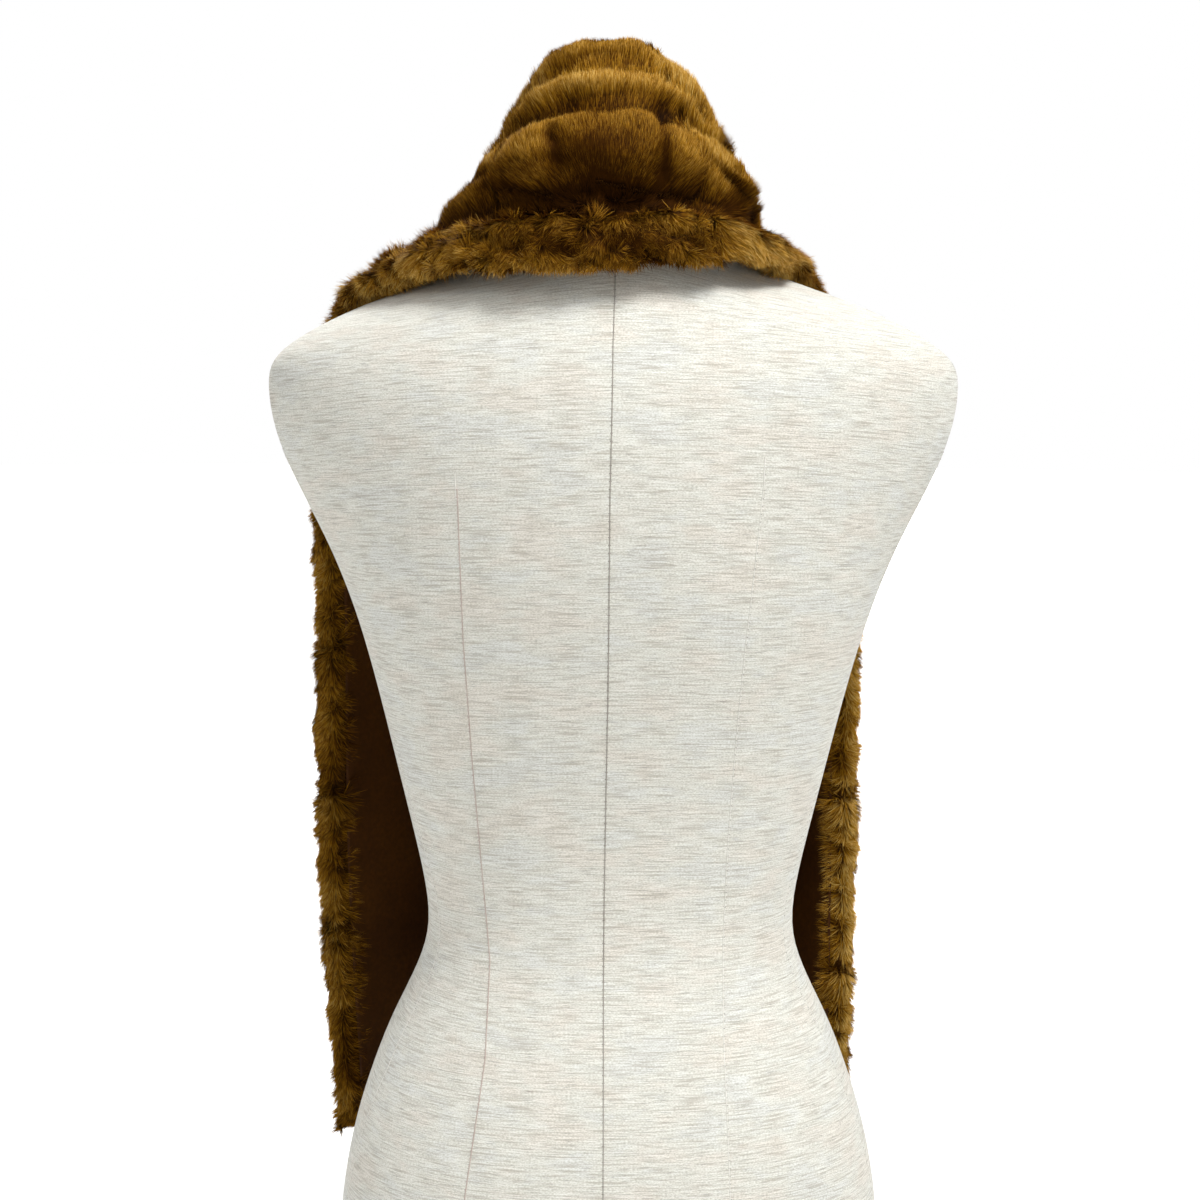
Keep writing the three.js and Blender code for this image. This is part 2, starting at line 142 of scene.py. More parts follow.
def make_room():
    world = bpy.data.worlds.new("pale_room")
    world.use_nodes = True
    tree = world.node_tree
    background = tree.nodes["Background"]
    background.inputs["Color"].default_value = (1.0, 1.0, 1.0, 1)
    blend = tree.nodes.new("ShaderNodeMix")
    blend.inputs[2].default_value = ROOM_LIGHT
    blend.inputs[3].default_value = ROOM_SEEN
    tree.links.new(seen_by_camera(tree), blend.inputs[0])
    tree.links.new(blend.outputs[0], background.inputs["Strength"])
    bpy.context.scene.world = world


def soft_lamp(name, place, target, size, watts):
    lamp = bpy.data.objects.new(name, bpy.data.lights.new(name, "AREA"))
    lamp.data.shape = "DISK"
    lamp.data.size = size
    lamp.data.energy = watts
    lamp.location = place
    lamp.rotation_euler = (Vector(target) - Vector(place)).to_track_quat("-Z", "Y").to_euler()
    bpy.context.scene.collection.objects.link(lamp)
    return lamp


make_floor()
make_room()
soft_lamp("key_lamp", (-1.0, 1.05, 3.05), (0, 0, 0.5), 1.1, 92)
soft_lamp("side_lamp", (1.5, 1.3, 2.5), (0, 0, 0.6), 1.4, 12)
soft_lamp("front_lamp", (0.8, -2.2, 2.4), (0, 0, 0.5), 1.3, 40)
bpy.context.scene.view_settings.view_transform = "Standard"

# %% [markdown]
# Materials and Geometry Nodes are both graphs of nodes. One short helper adds a node, sets its
# options and fills or links its inputs, so that each graph below reads as a list of steps.

# %% Helpers for node graphs


def add_node(tree, kind, inputs=None, **options):
    node = tree.nodes.new(kind)
    for name, value in options.items():
        setattr(node, name, value)
    for key, value in (inputs or {}).items():
        if isinstance(value, bpy.types.NodeSocket):
            tree.links.new(value, node.inputs[key])
        else:
            node.inputs[key].default_value = value
    return node


def math_node(tree, operation, a, b=0.0, clamp=False):
    node = add_node(tree, "ShaderNodeMath", {0: a, 1: b}, operation=operation, use_clamp=clamp)
    return node.outputs[0]


def vector_node(tree, operation, a, b=None, scale=None):
    inputs = {0: a}
    if b is not None:
        inputs[1] = b
    if scale is not None:
        inputs["Scale"] = scale
    return add_node(tree, "ShaderNodeVectorMath", inputs, operation=operation).outputs[0]


def colour_ramp(tree, factor, stops):
    ramp = add_node(tree, "ShaderNodeValToRGB", {0: factor})
    elements = ramp.color_ramp.elements
    while len(elements) < len(stops):
        elements.new(0.5)
    for element, (place, colour) in zip(elements, stops):
        element.position = place
        element.color = (*colour, 1)
    return ramp.outputs[0]


def mixed_colour(tree, factor, a, b, blend="MIX"):
    node = add_node(tree, "ShaderNodeMix", {0: factor, 6: a, 7: b}, data_type="RGBA", blend_type=blend)
    return node.outputs[2]


def new_material(name):
    material = bpy.data.materials.new(name)
    material.use_nodes = True
    tree = material.node_tree
    return material, tree, tree.nodes["Principled BSDF"]


# %% [markdown]
# Linen, lining and underfur are all a little uneven in colour. That effect is one node group
# with its own inputs, made once: a cloudy mask and a fine one, mixed into a single value.

# %% A shared group: uneven dye


def make_mottle_group():
    tree = bpy.data.node_groups.new("uneven_dye", "ShaderNodeTree")
    tree.interface.new_socket("Vector", in_out="INPUT", socket_type="NodeSocketVector")
    for name, value in (("Cloud Scale", 20.0), ("Grain Scale", 300.0), ("Grain Share", 0.4)):
        socket = tree.interface.new_socket(name, in_out="INPUT", socket_type="NodeSocketFloat")
        socket.default_value = value
    tree.interface.new_socket("Mask", in_out="OUTPUT", socket_type="NodeSocketFloat")
    given = tree.nodes.new("NodeGroupInput").outputs
    cloud = add_node(tree, "ShaderNodeTexNoise", {"Vector": given["Vector"], "Scale": given["Cloud Scale"],
                                                  "Detail": 4.0, "Roughness": 0.55})
    grain = add_node(tree, "ShaderNodeTexNoise", {"Vector": given["Vector"], "Scale": given["Grain Scale"],
                                                  "Detail": 2.0})
    mixed = add_node(tree, "ShaderNodeMix", {
        0: given["Grain Share"], 2: cloud.outputs[0], 3: grain.outputs[0]})
    result = tree.nodes.new("NodeGroupOutput")
    tree.links.new(mixed.outputs[0], result.inputs["Mask"])
    return tree


uneven_dye = make_mottle_group()


def uneven_mask(tree, vector, cloud, grain, share):
    node = tree.nodes.new("ShaderNodeGroup")
    node.node_tree = uneven_dye
    tree.links.new(vector, node.inputs["Vector"])
    node.inputs["Cloud Scale"].default_value = cloud
    node.inputs["Grain Scale"].default_value = grain
    node.inputs["Grain Share"].default_value = share
    return node.outputs["Mask"]


print("group outputs", [s.name for s in uneven_dye.interface.items_tree if s.in_out == "OUTPUT"])

# %% [markdown]
# The dress form is a hollow shell under a tight linen jersey. Its solid has plain flat facets, so
# we read back its rings, one for each height, and build a clean grid of quads from them. A grid
# has two gifts: subdivision makes it smooth, and its rows and columns give a UV map in true
# metres, measured along the cloth, so that the knit doesn't stretch where the shoulders turn flat.

# %% The dress form's grid
WELD = 0.02 * MM
FORM_LEVELS = 2


def node_points(node):
    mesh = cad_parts[node].data
    co = np.zeros(len(mesh.vertices) * 3)
    mesh.vertices.foreach_get("co", co)
    return co.reshape(-1, 3)


def form_rings():
    points = np.unique(np.round(node_points("dress_form"), 6), axis=0)
    rings = []
    for z in np.unique(points[:, 2]):
        ring = points[points[:, 2] == z]
        middle = (ring.max(0) + ring.min(0)) / 2
        radius = np.linalg.norm(ring - middle, axis=1)
        ring = ring[radius > radius.max() * 0.2]
        angle = np.arctan2(ring[:, 0] - middle[0], ring[:, 1] - middle[1])
        rings.append(ring[np.argsort(angle)])
    return np.array(rings)


def form_cloth_map(rings):
    """Metres along the cloth: round from the centre back, and up from the base."""
    step_round = np.linalg.norm(np.diff(rings, axis=1, append=rings[:, :1]), axis=2)
    step_up = np.linalg.norm(np.diff(rings, axis=0), axis=2)
    round_it = np.concatenate([np.zeros((len(rings), 1)), np.cumsum(step_round, axis=1)], axis=1)
    middle = (rings.max(1) + rings.min(1)) / 2
    angle = np.arctan2(rings[..., 0] - middle[:, :1], rings[..., 1] - middle[:, 1:2])
    centre_back = [np.interp(0, a, arc[:-1]) for a, arc in zip(angle, round_it)]
    round_it -= np.array(centre_back)[:, None]
    up = np.concatenate([np.zeros((1, rings.shape[1])), np.cumsum(step_up, axis=0)], axis=0)
    return round_it, np.concatenate([up, up[:, :1]], axis=1)


def make_form():
    rings = form_rings()
    rows, columns = rings.shape[:2]
    points = [tuple(p) for ring in rings for p in ring]
    faces = [
        (r * columns + k, r * columns + (k + 1) % columns,
         (r + 1) * columns + (k + 1) % columns, (r + 1) * columns + k)
        for r in range(rows - 1) for k in range(columns)
    ]
    caps = [tuple(range(columns))[::-1], tuple(range((rows - 1) * columns, rows * columns))]
    form = mesh_object("linen_form", points, [f[::-1] for f in faces] + [c[::-1] for c in caps])
    round_it, up = form_cloth_map(rings)
    layer = form.data.uv_layers.new(name="cloth")
    for face in form.data.polygons[: len(faces)]:
        r, k = divmod(face.index, columns)
        place = {(r, k): (r, k), (r, (k + 1) % columns): (r, k + 1),
                 (r + 1, (k + 1) % columns): (r + 1, k + 1), (r + 1, k): (r + 1, k)}
        for corner in face.loop_indices:
            row, column = divmod(form.data.loops[corner].vertex_index, columns)
            i, j = place[(row, column)]
            layer.data[corner].uv = (round_it[i, j], up[i, j])
    crease = form.data.attributes.new("crease_edge", "FLOAT", "EDGE")
    for edge in form.data.edges:
        row = {v // columns for v in edge.vertices}
        crease.data[edge.index].value = {0: 1.0, rows - 1: 0.7}.get(row.pop(), 0) if len(row) == 1 else 0
    smooth = form.modifiers.new("smooth", "SUBSURF")
    smooth.levels = smooth.render_levels = FORM_LEVELS
    return form, rings


def baked_mesh(piece):
    """The piece's shape with its modifiers applied, in place of its own mesh."""
    evaluated = piece.evaluated_get(bpy.context.evaluated_depsgraph_get())
    mesh = bpy.data.meshes.new_from_object(evaluated)
    piece.modifiers.clear()
    piece.data = mesh
    return piece


form, rings = make_form()
baked_mesh(form)
form.data.shade_smooth()
form.data.calc_loop_triangles()
print("form", rings.shape, "triangles", len(form.data.loop_triangles))

# %% [markdown]
# The jersey is heathered: off-white yarn with brown and grey slubs that lie along the knitted
# rows. A slub is long and thin, so its noise is squeezed upwards and stretched sideways. Four
# such layers, from the fine loops to rare dark slubs, are mixed over a cloudy tint of the yarn,
# and the same values give the bump.

# %% The linen jersey


def stretched_noise(tree, uv, along, up, detail, shift):
    place = add_node(tree, "ShaderNodeMapping", {"Vector": uv, "Location": (shift, shift, 0),
                                                 "Scale": (along, up, 1)}).outputs[0]
    return add_node(tree, "ShaderNodeTexNoise", {"Vector": place, "Scale": 1.0, "Detail": detail,
                                                 "Roughness": 0.6}, noise_dimensions="2D").outputs[0]


def linen_material():
    material, tree, shader = new_material("linen_jersey")
    uv = add_node(tree, "ShaderNodeUVMap", uv_map="cloth").outputs[0]
    weave = stretched_noise(tree, uv, 800, 1700, 1, 0.0)
    rows = stretched_noise(tree, uv, 62, 1500, 2, 3.9)
    slubs = stretched_noise(tree, uv, 42, 1050, 3, 7.3)
    rare = stretched_noise(tree, uv, 95, 1700, 2, 15.1)
    clouds = stretched_noise(tree, uv, 20, 42, 3, 31.7)
    half_weave = math_node(tree, "MULTIPLY", weave, 0.5)
    yarn = math_node(tree, "ADD", half_weave, math_node(tree, "MULTIPLY", rows, 0.5))
    base = colour_ramp(tree, yarn, [(0.34, (0.53, 0.512, 0.45)), (0.5, (0.70, 0.686, 0.625)),
                                    (0.64, (0.82, 0.812, 0.765))])
    tint = colour_ramp(tree, clouds, [(0.36, (0.965, 0.985, 1.0)), (0.46, (0.99, 1.0, 0.985)),
                                      (0.54, (1, 1, 0.985)), (0.64, (1.0, 0.972, 0.945))])
    base = mixed_colour(tree, 1.0, base, tint, "MULTIPLY")
    thick = colour_ramp(tree, slubs, [(0.53, (0, 0, 0)), (0.68, (1, 1, 1))])
    base = mixed_colour(tree, math_node(tree, "MULTIPLY", thick, 0.6), base, (0.40, 0.36, 0.30, 1))
    dark = colour_ramp(tree, rare, [(0.64, (0, 0, 0)), (0.74, (1, 1, 1))])
    base = mixed_colour(tree, math_node(tree, "MULTIPLY", dark, 0.55), base, (0.24, 0.22, 0.20, 1))
    tree.links.new(base, shader.inputs["Base Color"])
    shader.inputs["Roughness"].default_value = 0.92
    shader.inputs["Specular IOR Level"].default_value = 0.25
    shader.inputs["Sheen Weight"].default_value = 0.15
    height = math_node(tree, "ADD", yarn, math_node(tree, "MULTIPLY", thick, 0.6))
    bump = add_node(tree, "ShaderNodeBump", {"Strength": 0.35, "Distance": 0.4 * MM, "Height": height})
    tree.links.new(bump.outputs[0], shader.inputs["Normal"])
    return material


linen = linen_material()
form.data.materials.append(linen)
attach(form, "root")
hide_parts("dress_form")
print("linen nodes", len(linen.node_tree.nodes))

# %% [markdown]
# The jersey's panels meet in seams: one down the centre of the back and of the front, a princess
# seam on either side of it that follows the waist, and one down each flank. Each seam is drawn as
# a fine thread pressed into the cloth, found by shooting rays at the form from outside. Geometry
# Nodes sweep a small round profile along that line, and lay even stitches across it.

# %% Where the seams run
SEAM_STEP = 4 * MM
SEAM_RADIUS = 0.34 * MM
STITCH_PITCH, STITCH_LENGTH, STITCH_THICKNESS = 4.2 * MM, 1.6 * MM, 0.5 * MM
# Each seam: which side of the form, and its x at some heights, in metres.
SEAMS = [
    ("centre_back", 1, [(0.012, 0.0075), (0.145, 0.0071), (0.41, 0.0054), (0.52, 0.0055), (0.60, 0.004),
                        (0.646, 0.002)]),
    ("princess_back_left", 1, [(0.012, 0.090), (0.141, 0.0816), (0.21, 0.0711), (0.26, 0.0687),
                               (0.31, 0.0732), (0.374, 0.0786), (0.4415, 0.0832), (0.523, 0.0862)]),
    ("princess_back_right", 1, [(0.012, -0.070), (0.145, -0.0619), (0.216, -0.0598), (0.272, -0.0602),
                                (0.329, -0.062), (0.3865, -0.0649), (0.437, -0.0684), (0.5317, -0.0772)]),
    ("thread_end_left", 1, [(0.518, 0.0868), (0.5305, 0.0874)]),
    ("thread_end_right", 1, [(0.5275, -0.0766), (0.541, -0.0771)]),
    ("centre_front", -1, [(0.012, 0.0), (0.3, 0.0), (0.6, 0.0), (0.625, 0.0)]),
    ("princess_front_left", -1, [(0.012, 0.082), (0.26, 0.06), (0.45, 0.074), (0.6, 0.09)]),
    ("princess_front_right", -1, [(0.012, -0.082), (0.26, -0.06), (0.45, -0.074), (0.6, -0.09)]),
]
# The side seams: the y at some heights, on either side.
SIDE_SEAM = [(0.012, 0.045), (0.15, 0.055), (0.194, 0.057), (0.247, 0.05), (0.40, 0.035), (0.54, 0.028)]

form_tree = BVHTree.FromObject(form, bpy.context.evaluated_depsgraph_get())


def seam_line(rows, shoot):
    heights = [row[0] for row in rows]
    count = int((heights[-1] - heights[0]) / SEAM_STEP)
    line = []
    for z in np.linspace(heights[0], heights[-1], count):
        start, way = shoot(z, float(np.interp(z, heights, [row[1] for row in rows])))
        hit = form_tree.ray_cast(start, way)[0]
        if hit:
            line.append(hit)
    return line


lines = {
    name: seam_line(rows, lambda z, x, s=side: (Vector((x, s, z)), Vector((0, -s, 0))))
    for name, side, rows in SEAMS
}
for name, side in (("side_left", 1), ("side_right", -1)):
    lines[name] = seam_line(SIDE_SEAM, lambda z, y, s=side: (Vector((s, y, z)), Vector((-s, 0, 0))))


def length_of(line):
    return sum((a - b).length for a, b in zip(line, line[1:]))


print("seam lengths in mm", {name: round(length_of(line) / MM) for name, line in lines.items()})

# %% Seams swept by Geometry Nodes


def group_inputs(tree, rows):
    for name, kind, value in rows:
        socket = tree.interface.new_socket(name, in_out="INPUT", socket_type="NodeSocket" + kind)
        if value is not None:
            socket.default_value = value
    tree.interface.new_socket("Geometry", in_out="OUTPUT", socket_type="NodeSocketGeometry")
    return tree.nodes.new("NodeGroupInput").outputs


def run_nodes(piece, tree, values):
    """Runs a Geometry Nodes tree on a piece with these input values, and keeps the result."""
    modifier = piece.modifiers.new("grown", "NODES")
    modifier.node_group = tree
    for item in tree.interface.items_tree:
        if item.in_out == "INPUT" and item.name in values:
            modifier[item.identifier] = values[item.name]
    return baked_mesh(piece)


def make_seam_tree():
    tree = bpy.data.node_groups.new("sewn_seam", "GeometryNodeTree")
    given = group_inputs(tree, [
        ("Geometry", "Geometry", None), ("Radius", "Float", SEAM_RADIUS), ("Pitch", "Float", STITCH_PITCH),
        ("Stitch Length", "Float", STITCH_LENGTH), ("Stitch Thickness", "Float", STITCH_THICKNESS),
        ("Thread", "Material", None), ("Stitching", "Material", None)])
    curve = add_node(tree, "GeometryNodeMeshToCurve", {"Mesh": given["Geometry"]}).outputs[0]
    ring = add_node(tree, "GeometryNodeCurvePrimitiveCircle", {"Resolution": 5, "Radius": given["Radius"]})
    tube = add_node(tree, "GeometryNodeCurveToMesh", {"Curve": curve, "Profile Curve": ring.outputs[0],
                                                      "Fill Caps": True}).outputs[0]
    spots = add_node(tree, "GeometryNodeCurveToPoints", {"Curve": curve, "Length": given["Pitch"]},
                     mode="LENGTH").outputs
    thick = given["Stitch Thickness"]
    size = add_node(tree, "ShaderNodeCombineXYZ", {"X": given["Stitch Length"], "Y": thick, "Z": thick})
    stitch = add_node(tree, "GeometryNodeMeshCylinder", {"Vertices": 5, "Radius": 0.5, "Depth": 1.0})
    laid = add_node(tree, "GeometryNodeInstanceOnPoints", {
        "Points": spots[0], "Instance": stitch.outputs[0], "Rotation": spots[3],
        "Scale": size.outputs[0]}).outputs[0]
    laid = add_node(tree, "GeometryNodeRealizeInstances", {0: laid}).outputs[0]
    both = add_node(tree, "GeometryNodeJoinGeometry")
    for made, colour in ((tube, "Thread"), (laid, "Stitching")):
        dyed = add_node(tree, "GeometryNodeSetMaterial", {"Geometry": made, "Material": given[colour]})
        tree.links.new(dyed.outputs[0], both.inputs[0])
    tree.links.new(both.outputs[0], tree.nodes.new("NodeGroupOutput").inputs[0])
    return tree


def thread_material(name, colours):
    material, tree, shader = new_material(name)
    place = add_node(tree, "ShaderNodeTexCoord").outputs["Object"]
    mask = uneven_mask(tree, place, 90.0, 900.0, 0.5)
    colour = colour_ramp(tree, mask, [(0.3, colours[0]), (0.7, colours[1])])
    tree.links.new(colour, shader.inputs["Base Color"])
    shader.inputs["Roughness"].default_value = 0.85
    return material


seam_tree = make_seam_tree()
grey_thread = thread_material("grey_thread", ((0.27, 0.25, 0.215), (0.42, 0.395, 0.35)))
pale_thread = thread_material("pale_thread", ((0.66, 0.64, 0.58), (0.86, 0.84, 0.79)))
rosy_thread = thread_material("rosy_thread", ((0.40, 0.31, 0.27), (0.58, 0.50, 0.45)))
# The princess seam on the wearer's right is a pale welt with grey stitches. The one on the left is
# a faint rosy line. A short pale thread is left at the top of each.
THREADS = {
    "princess_back_right": (pale_thread, grey_thread),
    "princess_back_left": (rosy_thread, rosy_thread),
    "side_left": (pale_thread, grey_thread),
    "side_right": (pale_thread, grey_thread),
    "thread_end_left": (pale_thread, pale_thread),
    "thread_end_right": (pale_thread, pale_thread),
}


def make_seam(name, line):
    mesh = bpy.data.meshes.new("seam_" + name)
    mesh.from_pydata([tuple(p) for p in line], [(k, k + 1) for k in range(len(line) - 1)], [])
    seam = bpy.data.objects.new("seam_" + name, mesh)
    bpy.context.scene.collection.objects.link(seam)
    thread, stitching = THREADS.get(name, (grey_thread, grey_thread))
    run_nodes(seam, seam_tree, {
        "Radius": SEAM_RADIUS, "Pitch": STITCH_PITCH, "Stitch Length": STITCH_LENGTH,
        "Stitch Thickness": STITCH_THICKNESS, "Thread": thread, "Stitching": stitching})
    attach(seam, "root")
    return seam


seams = [make_seam(name, line) for name, line in lines.items()]
print("seams", [(s.name, len(s.data.polygons)) for s in seams])

# %% [markdown]
# A pelt and a lining piece come out of the frame as loose triangles. We copy each one, merge the
# corners that lie on each other, join the triangles to quads and subdivide. The copy is then
# smooth, and its normals can be trusted. The solid that it stands for is hidden, and stays for
# collision.

# %% Smooth copies of the sewn pieces
QUAD_ANGLE = math.radians(60)
RIM_GAP = 1.0 * MM
RIM_ANGLE = math.radians(40)


def solid_tree(node):
    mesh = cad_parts[node].data
    return BVHTree.FromPolygons([v.co for v in mesh.vertices], [f.vertices for f in mesh.polygons])


def smooth_copy(node, name, levels=1, beside=()):
    """A welded, subdivided copy of a node. Rims that meet the pieces beside it keep their edge."""
    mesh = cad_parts[node].data
    trees = [solid_tree(other) for other in beside]
    work = bmesh.new()
    work.from_mesh(mesh)
    bmesh.ops.remove_doubles(work, verts=work.verts, dist=WELD)
    bmesh.ops.join_triangles(work, faces=work.faces, angle_face_threshold=QUAD_ANGLE,
                             angle_shape_threshold=QUAD_ANGLE)
    points = [v.co.copy() for v in work.verts]
    faces = [[v.index for v in f.verts] for f in work.faces]
    meets = [any(t.find_nearest(v.co)[3] < RIM_GAP for t in trees) for v in work.verts]
    rims = {
        tuple(sorted(v.index for v in e.verts))
        for e in work.edges
        if all(meets[v.index] for v in e.verts) and e.calc_face_angle(0) > RIM_ANGLE
    }
    work.free()
    piece = mesh_object(name, points, faces)
    crease = piece.data.attributes.new("crease_edge", "FLOAT", "EDGE")
    for edge in piece.data.edges:
        crease.data[edge.index].value = float(tuple(sorted(edge.vertices)) in rims)
    smooth = piece.modifiers.new("smooth", "SUBSURF")
    smooth.levels = smooth.render_levels = levels
    return baked_mesh(piece)


def mesh_arrays(mesh):
    co = np.zeros(len(mesh.vertices) * 3)
    normal = np.zeros(len(mesh.vertices) * 3)
    mesh.vertices.foreach_get("co", co)
    mesh.vertex_normals.foreach_get("vector", normal)
    return co.reshape(-1, 3), normal.reshape(-1, 3)


def smoothed(mesh, values, rounds):
    """The values, each averaged with its neighbours' this many times."""
    ends = np.zeros(len(mesh.edges) * 2, np.int32)
    mesh.edges.foreach_get("vertices", ends)
    a, b = ends.reshape(-1, 2).T
    count = np.bincount(a, minlength=len(values)) + np.bincount(b, minlength=len(values)) + 1.0
    shape = (len(values),) + (1,) * (values.ndim - 1)
    for _ in range(rounds):
        total = values.copy()
        np.add.at(total, a, values[b])
        np.add.at(total, b, values[a])
        values = total / count.reshape(shape)
    return values


def tree_of(pieces):
    """One search tree over several pieces."""
    points, faces = [], []
    for piece in pieces:
        faces += [[v + len(points) for v in f.vertices] for f in piece.data.polygons]
        points += [v.co.copy() for v in piece.data.vertices]
    return BVHTree.FromPolygons(points, faces)


def smooth_step(value, low, high):
    t = np.clip((value - low) / (high - low), 0, 1)
    return t * t * (3 - 2 * t)


def waves(points, length, seed, count=7):
    """Soft uneven waves of about this length, from a few sines with fixed random directions."""
    rng = np.random.default_rng(seed)
    total = np.zeros(len(points))
    for _ in range(count):
        way = rng.normal(size=3)
        way *= 2 * math.pi / length * rng.uniform(0.6, 1.5) / np.linalg.norm(way)
        total += np.sin(points @ way + rng.uniform(0, 2 * math.pi))
    return total / math.sqrt(count)


# %% [markdown]
# The lining is a smooth, dark caramel cloth. It is seen inside the hanging fronts and inside the
# collar. A thin cloth never lies quite flat, so soft troughs are pressed into it, up to a
# millimetre and a half deep, longer along the wrap than across it.

# %% The lining
LINING = {
    "lining_right_front": (0.154, 0.371),
    "lining_collar": (0.154, 0.612),
    "lining_left_front": (0.154, 0.375),
}
LINING_TROUGH = 0.9 * MM


def lining_material():
    material, tree, shader = new_material("caramel_lining")
    place = add_node(tree, "ShaderNodeTexCoord").outputs["Object"]
    mask = uneven_mask(tree, place, 16.0, 420.0, 0.35)
    base = colour_ramp(tree, mask, [(0.3, (0.034, 0.010, 0.0006)), (0.5, (0.052, 0.0165, 0.0011)),
                                    (0.7, (0.078, 0.027, 0.002))])
    tree.links.new(base, shader.inputs["Base Color"])
    shader.inputs["Roughness"].default_value = 0.62
    shader.inputs["Specular IOR Level"].default_value = 0.12
    shader.inputs["Sheen Weight"].default_value = 0.05
    shader.inputs["Sheen Roughness"].default_value = 0.4
    shader.inputs["Sheen Tint"].default_value = (0.7, 0.4, 0.12, 1)
    fine = add_node(tree, "ShaderNodeTexNoise", {"Vector": place, "Scale": 1400.0, "Detail": 2.0}).outputs[0]
    bump = add_node(tree, "ShaderNodeBump", {"Strength": 0.2, "Distance": 0.2 * MM, "Height": fine})
    tree.links.new(bump.outputs[0], shader.inputs["Normal"])
    return material


def make_lining(node):
    cloth = smooth_copy(node, node + "_cloth")
    co, normal = mesh_arrays(cloth.data)
    away = np.array([form_tree.find_nearest(Vector(p))[3] for p in co])
    long_waves = waves(co * (1, 1, 0.45), 0.045, 5)
    trough = LINING_TROUGH * np.clip(long_waves, -1.5, 0.4) * smooth_step(away, 3 * MM, 12 * MM)
    # Both faces of the thin cloth move the same way: towards the leather, which is away from the form.
    inward = np.array([form_tree.find_nearest(Vector(p))[0] for p in co]) - co
    inward /= np.maximum(np.linalg.norm(inward, axis=1, keepdims=True), 1e-9)
    co += inward * np.abs(trough)[:, None]
    cloth.data.vertices.foreach_set("co", co.ravel())
    cloth.data.update()
    cloth.data.shade_smooth()
    cloth.data.materials.append(caramel_cloth)
    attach(cloth, "root")
    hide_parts(node)
    return cloth


caramel_cloth = lining_material()
lining = {node: make_lining(node) for node in LINING}
lining_tree = tree_of(lining.values())
print("lining", {n: len(c.data.polygons) for n, c in lining.items()})

# %% [markdown]
# A sheared pelt is two things at once: a dense underfur, so close that it reads as a dark soft
# mass, and above it the hairs whose tips catch the light. The underfur is a body of its own, the
# smooth copy drawn in from the tips by some millimetres. Each point of it carries what its hairs
# need to know: which way they lie, how long they are, how thick they grow and how mixed up.

# %% How the fur lies on each pelt
# neckward points from the wrap's outer edge to its neck edge. parting is the share of the width
# where the hair changes from lying down to standing up, at the deep crease. tone makes a pelt
# lighter or darker, and curl is how tangled the roll below the parting is.
PELTS = [
    {"name": "right_hem", "neckward": (1, -0.35, 0), "parting": 1, "tone": 0.00, "curl": 0.45},
    {"name": "right_hip", "neckward": (1, -0.35, 0), "parting": 1, "tone": 0.05, "curl": 0.4},
    {"name": "right_waist", "neckward": (1, -0.4, 0), "parting": 1, "tone": -0.04, "curl": 0.45},
    {"name": "right_bust", "neckward": (1, -0.45, 0), "parting": 1, "tone": 0.04, "curl": 0.4},
    {"name": "right_chest", "neckward": (0.85, -0.5, 0.1), "parting": 0.3, "tone": 0.0, "curl": 0.4},
    {"name": "right_shoulder", "neckward": (0.68, -0.55, 0.48), "parting": 0.27, "tone": 0.06, "curl": 0.3},
    {"name": "right_neck", "neckward": (0.4, -0.42, 0.8), "parting": 0.27, "tone": 0.05, "curl": 0.3},
    {"name": "nape", "neckward": (0.02, -0.42, 0.9), "parting": 0.27, "tone": 0.0, "curl": 1.2},
    {"name": "left_neck", "neckward": (-0.45, -0.44, 0.77), "parting": 0.30, "tone": -0.03, "curl": 1.3},
    {"name": "left_shoulder", "neckward": (-0.72, -0.5, 0.5), "parting": 0.34, "tone": 0.0, "curl": 0.9},
    {"name": "left_chest", "neckward": (-0.88, -0.46, 0.1), "parting": 0.3, "tone": -0.02, "curl": 0.5},
    {"name": "left_bust", "neckward": (-1, -0.45, 0), "parting": 1, "tone": 0.04, "curl": 0.45},
    {"name": "left_waist", "neckward": (-1, -0.4, 0), "parting": 1, "tone": -0.05, "curl": 0.4},
    {"name": "left_hip", "neckward": (-1, -0.35, 0), "parting": 1, "tone": 0.03, "curl": 0.5},
    {"name": "left_hem", "neckward": (-1, -0.35, 0), "parting": 1, "tone": -0.02, "curl": 0.45},
]
# The cut of the whole strip: 180 mm wide, and each pelt's run along it in millimetres.
STRIP_WIDTH = 180
CUT_RUN = {
    "right_hem": 99, "right_hip": 108, "right_waist": 87, "right_bust": 90, "right_chest": 95,
    "right_shoulder": 90, "right_neck": 85, "nape": 90, "left_neck": 90, "left_shoulder": 85,
    "left_chest": 77, "left_bust": 88, "left_waist": 88, "left_hip": 83, "left_hem": 129,
}
print("pelts", len(PELTS), "strip in mm", STRIP_WIDTH, sum(CUT_RUN.values()))
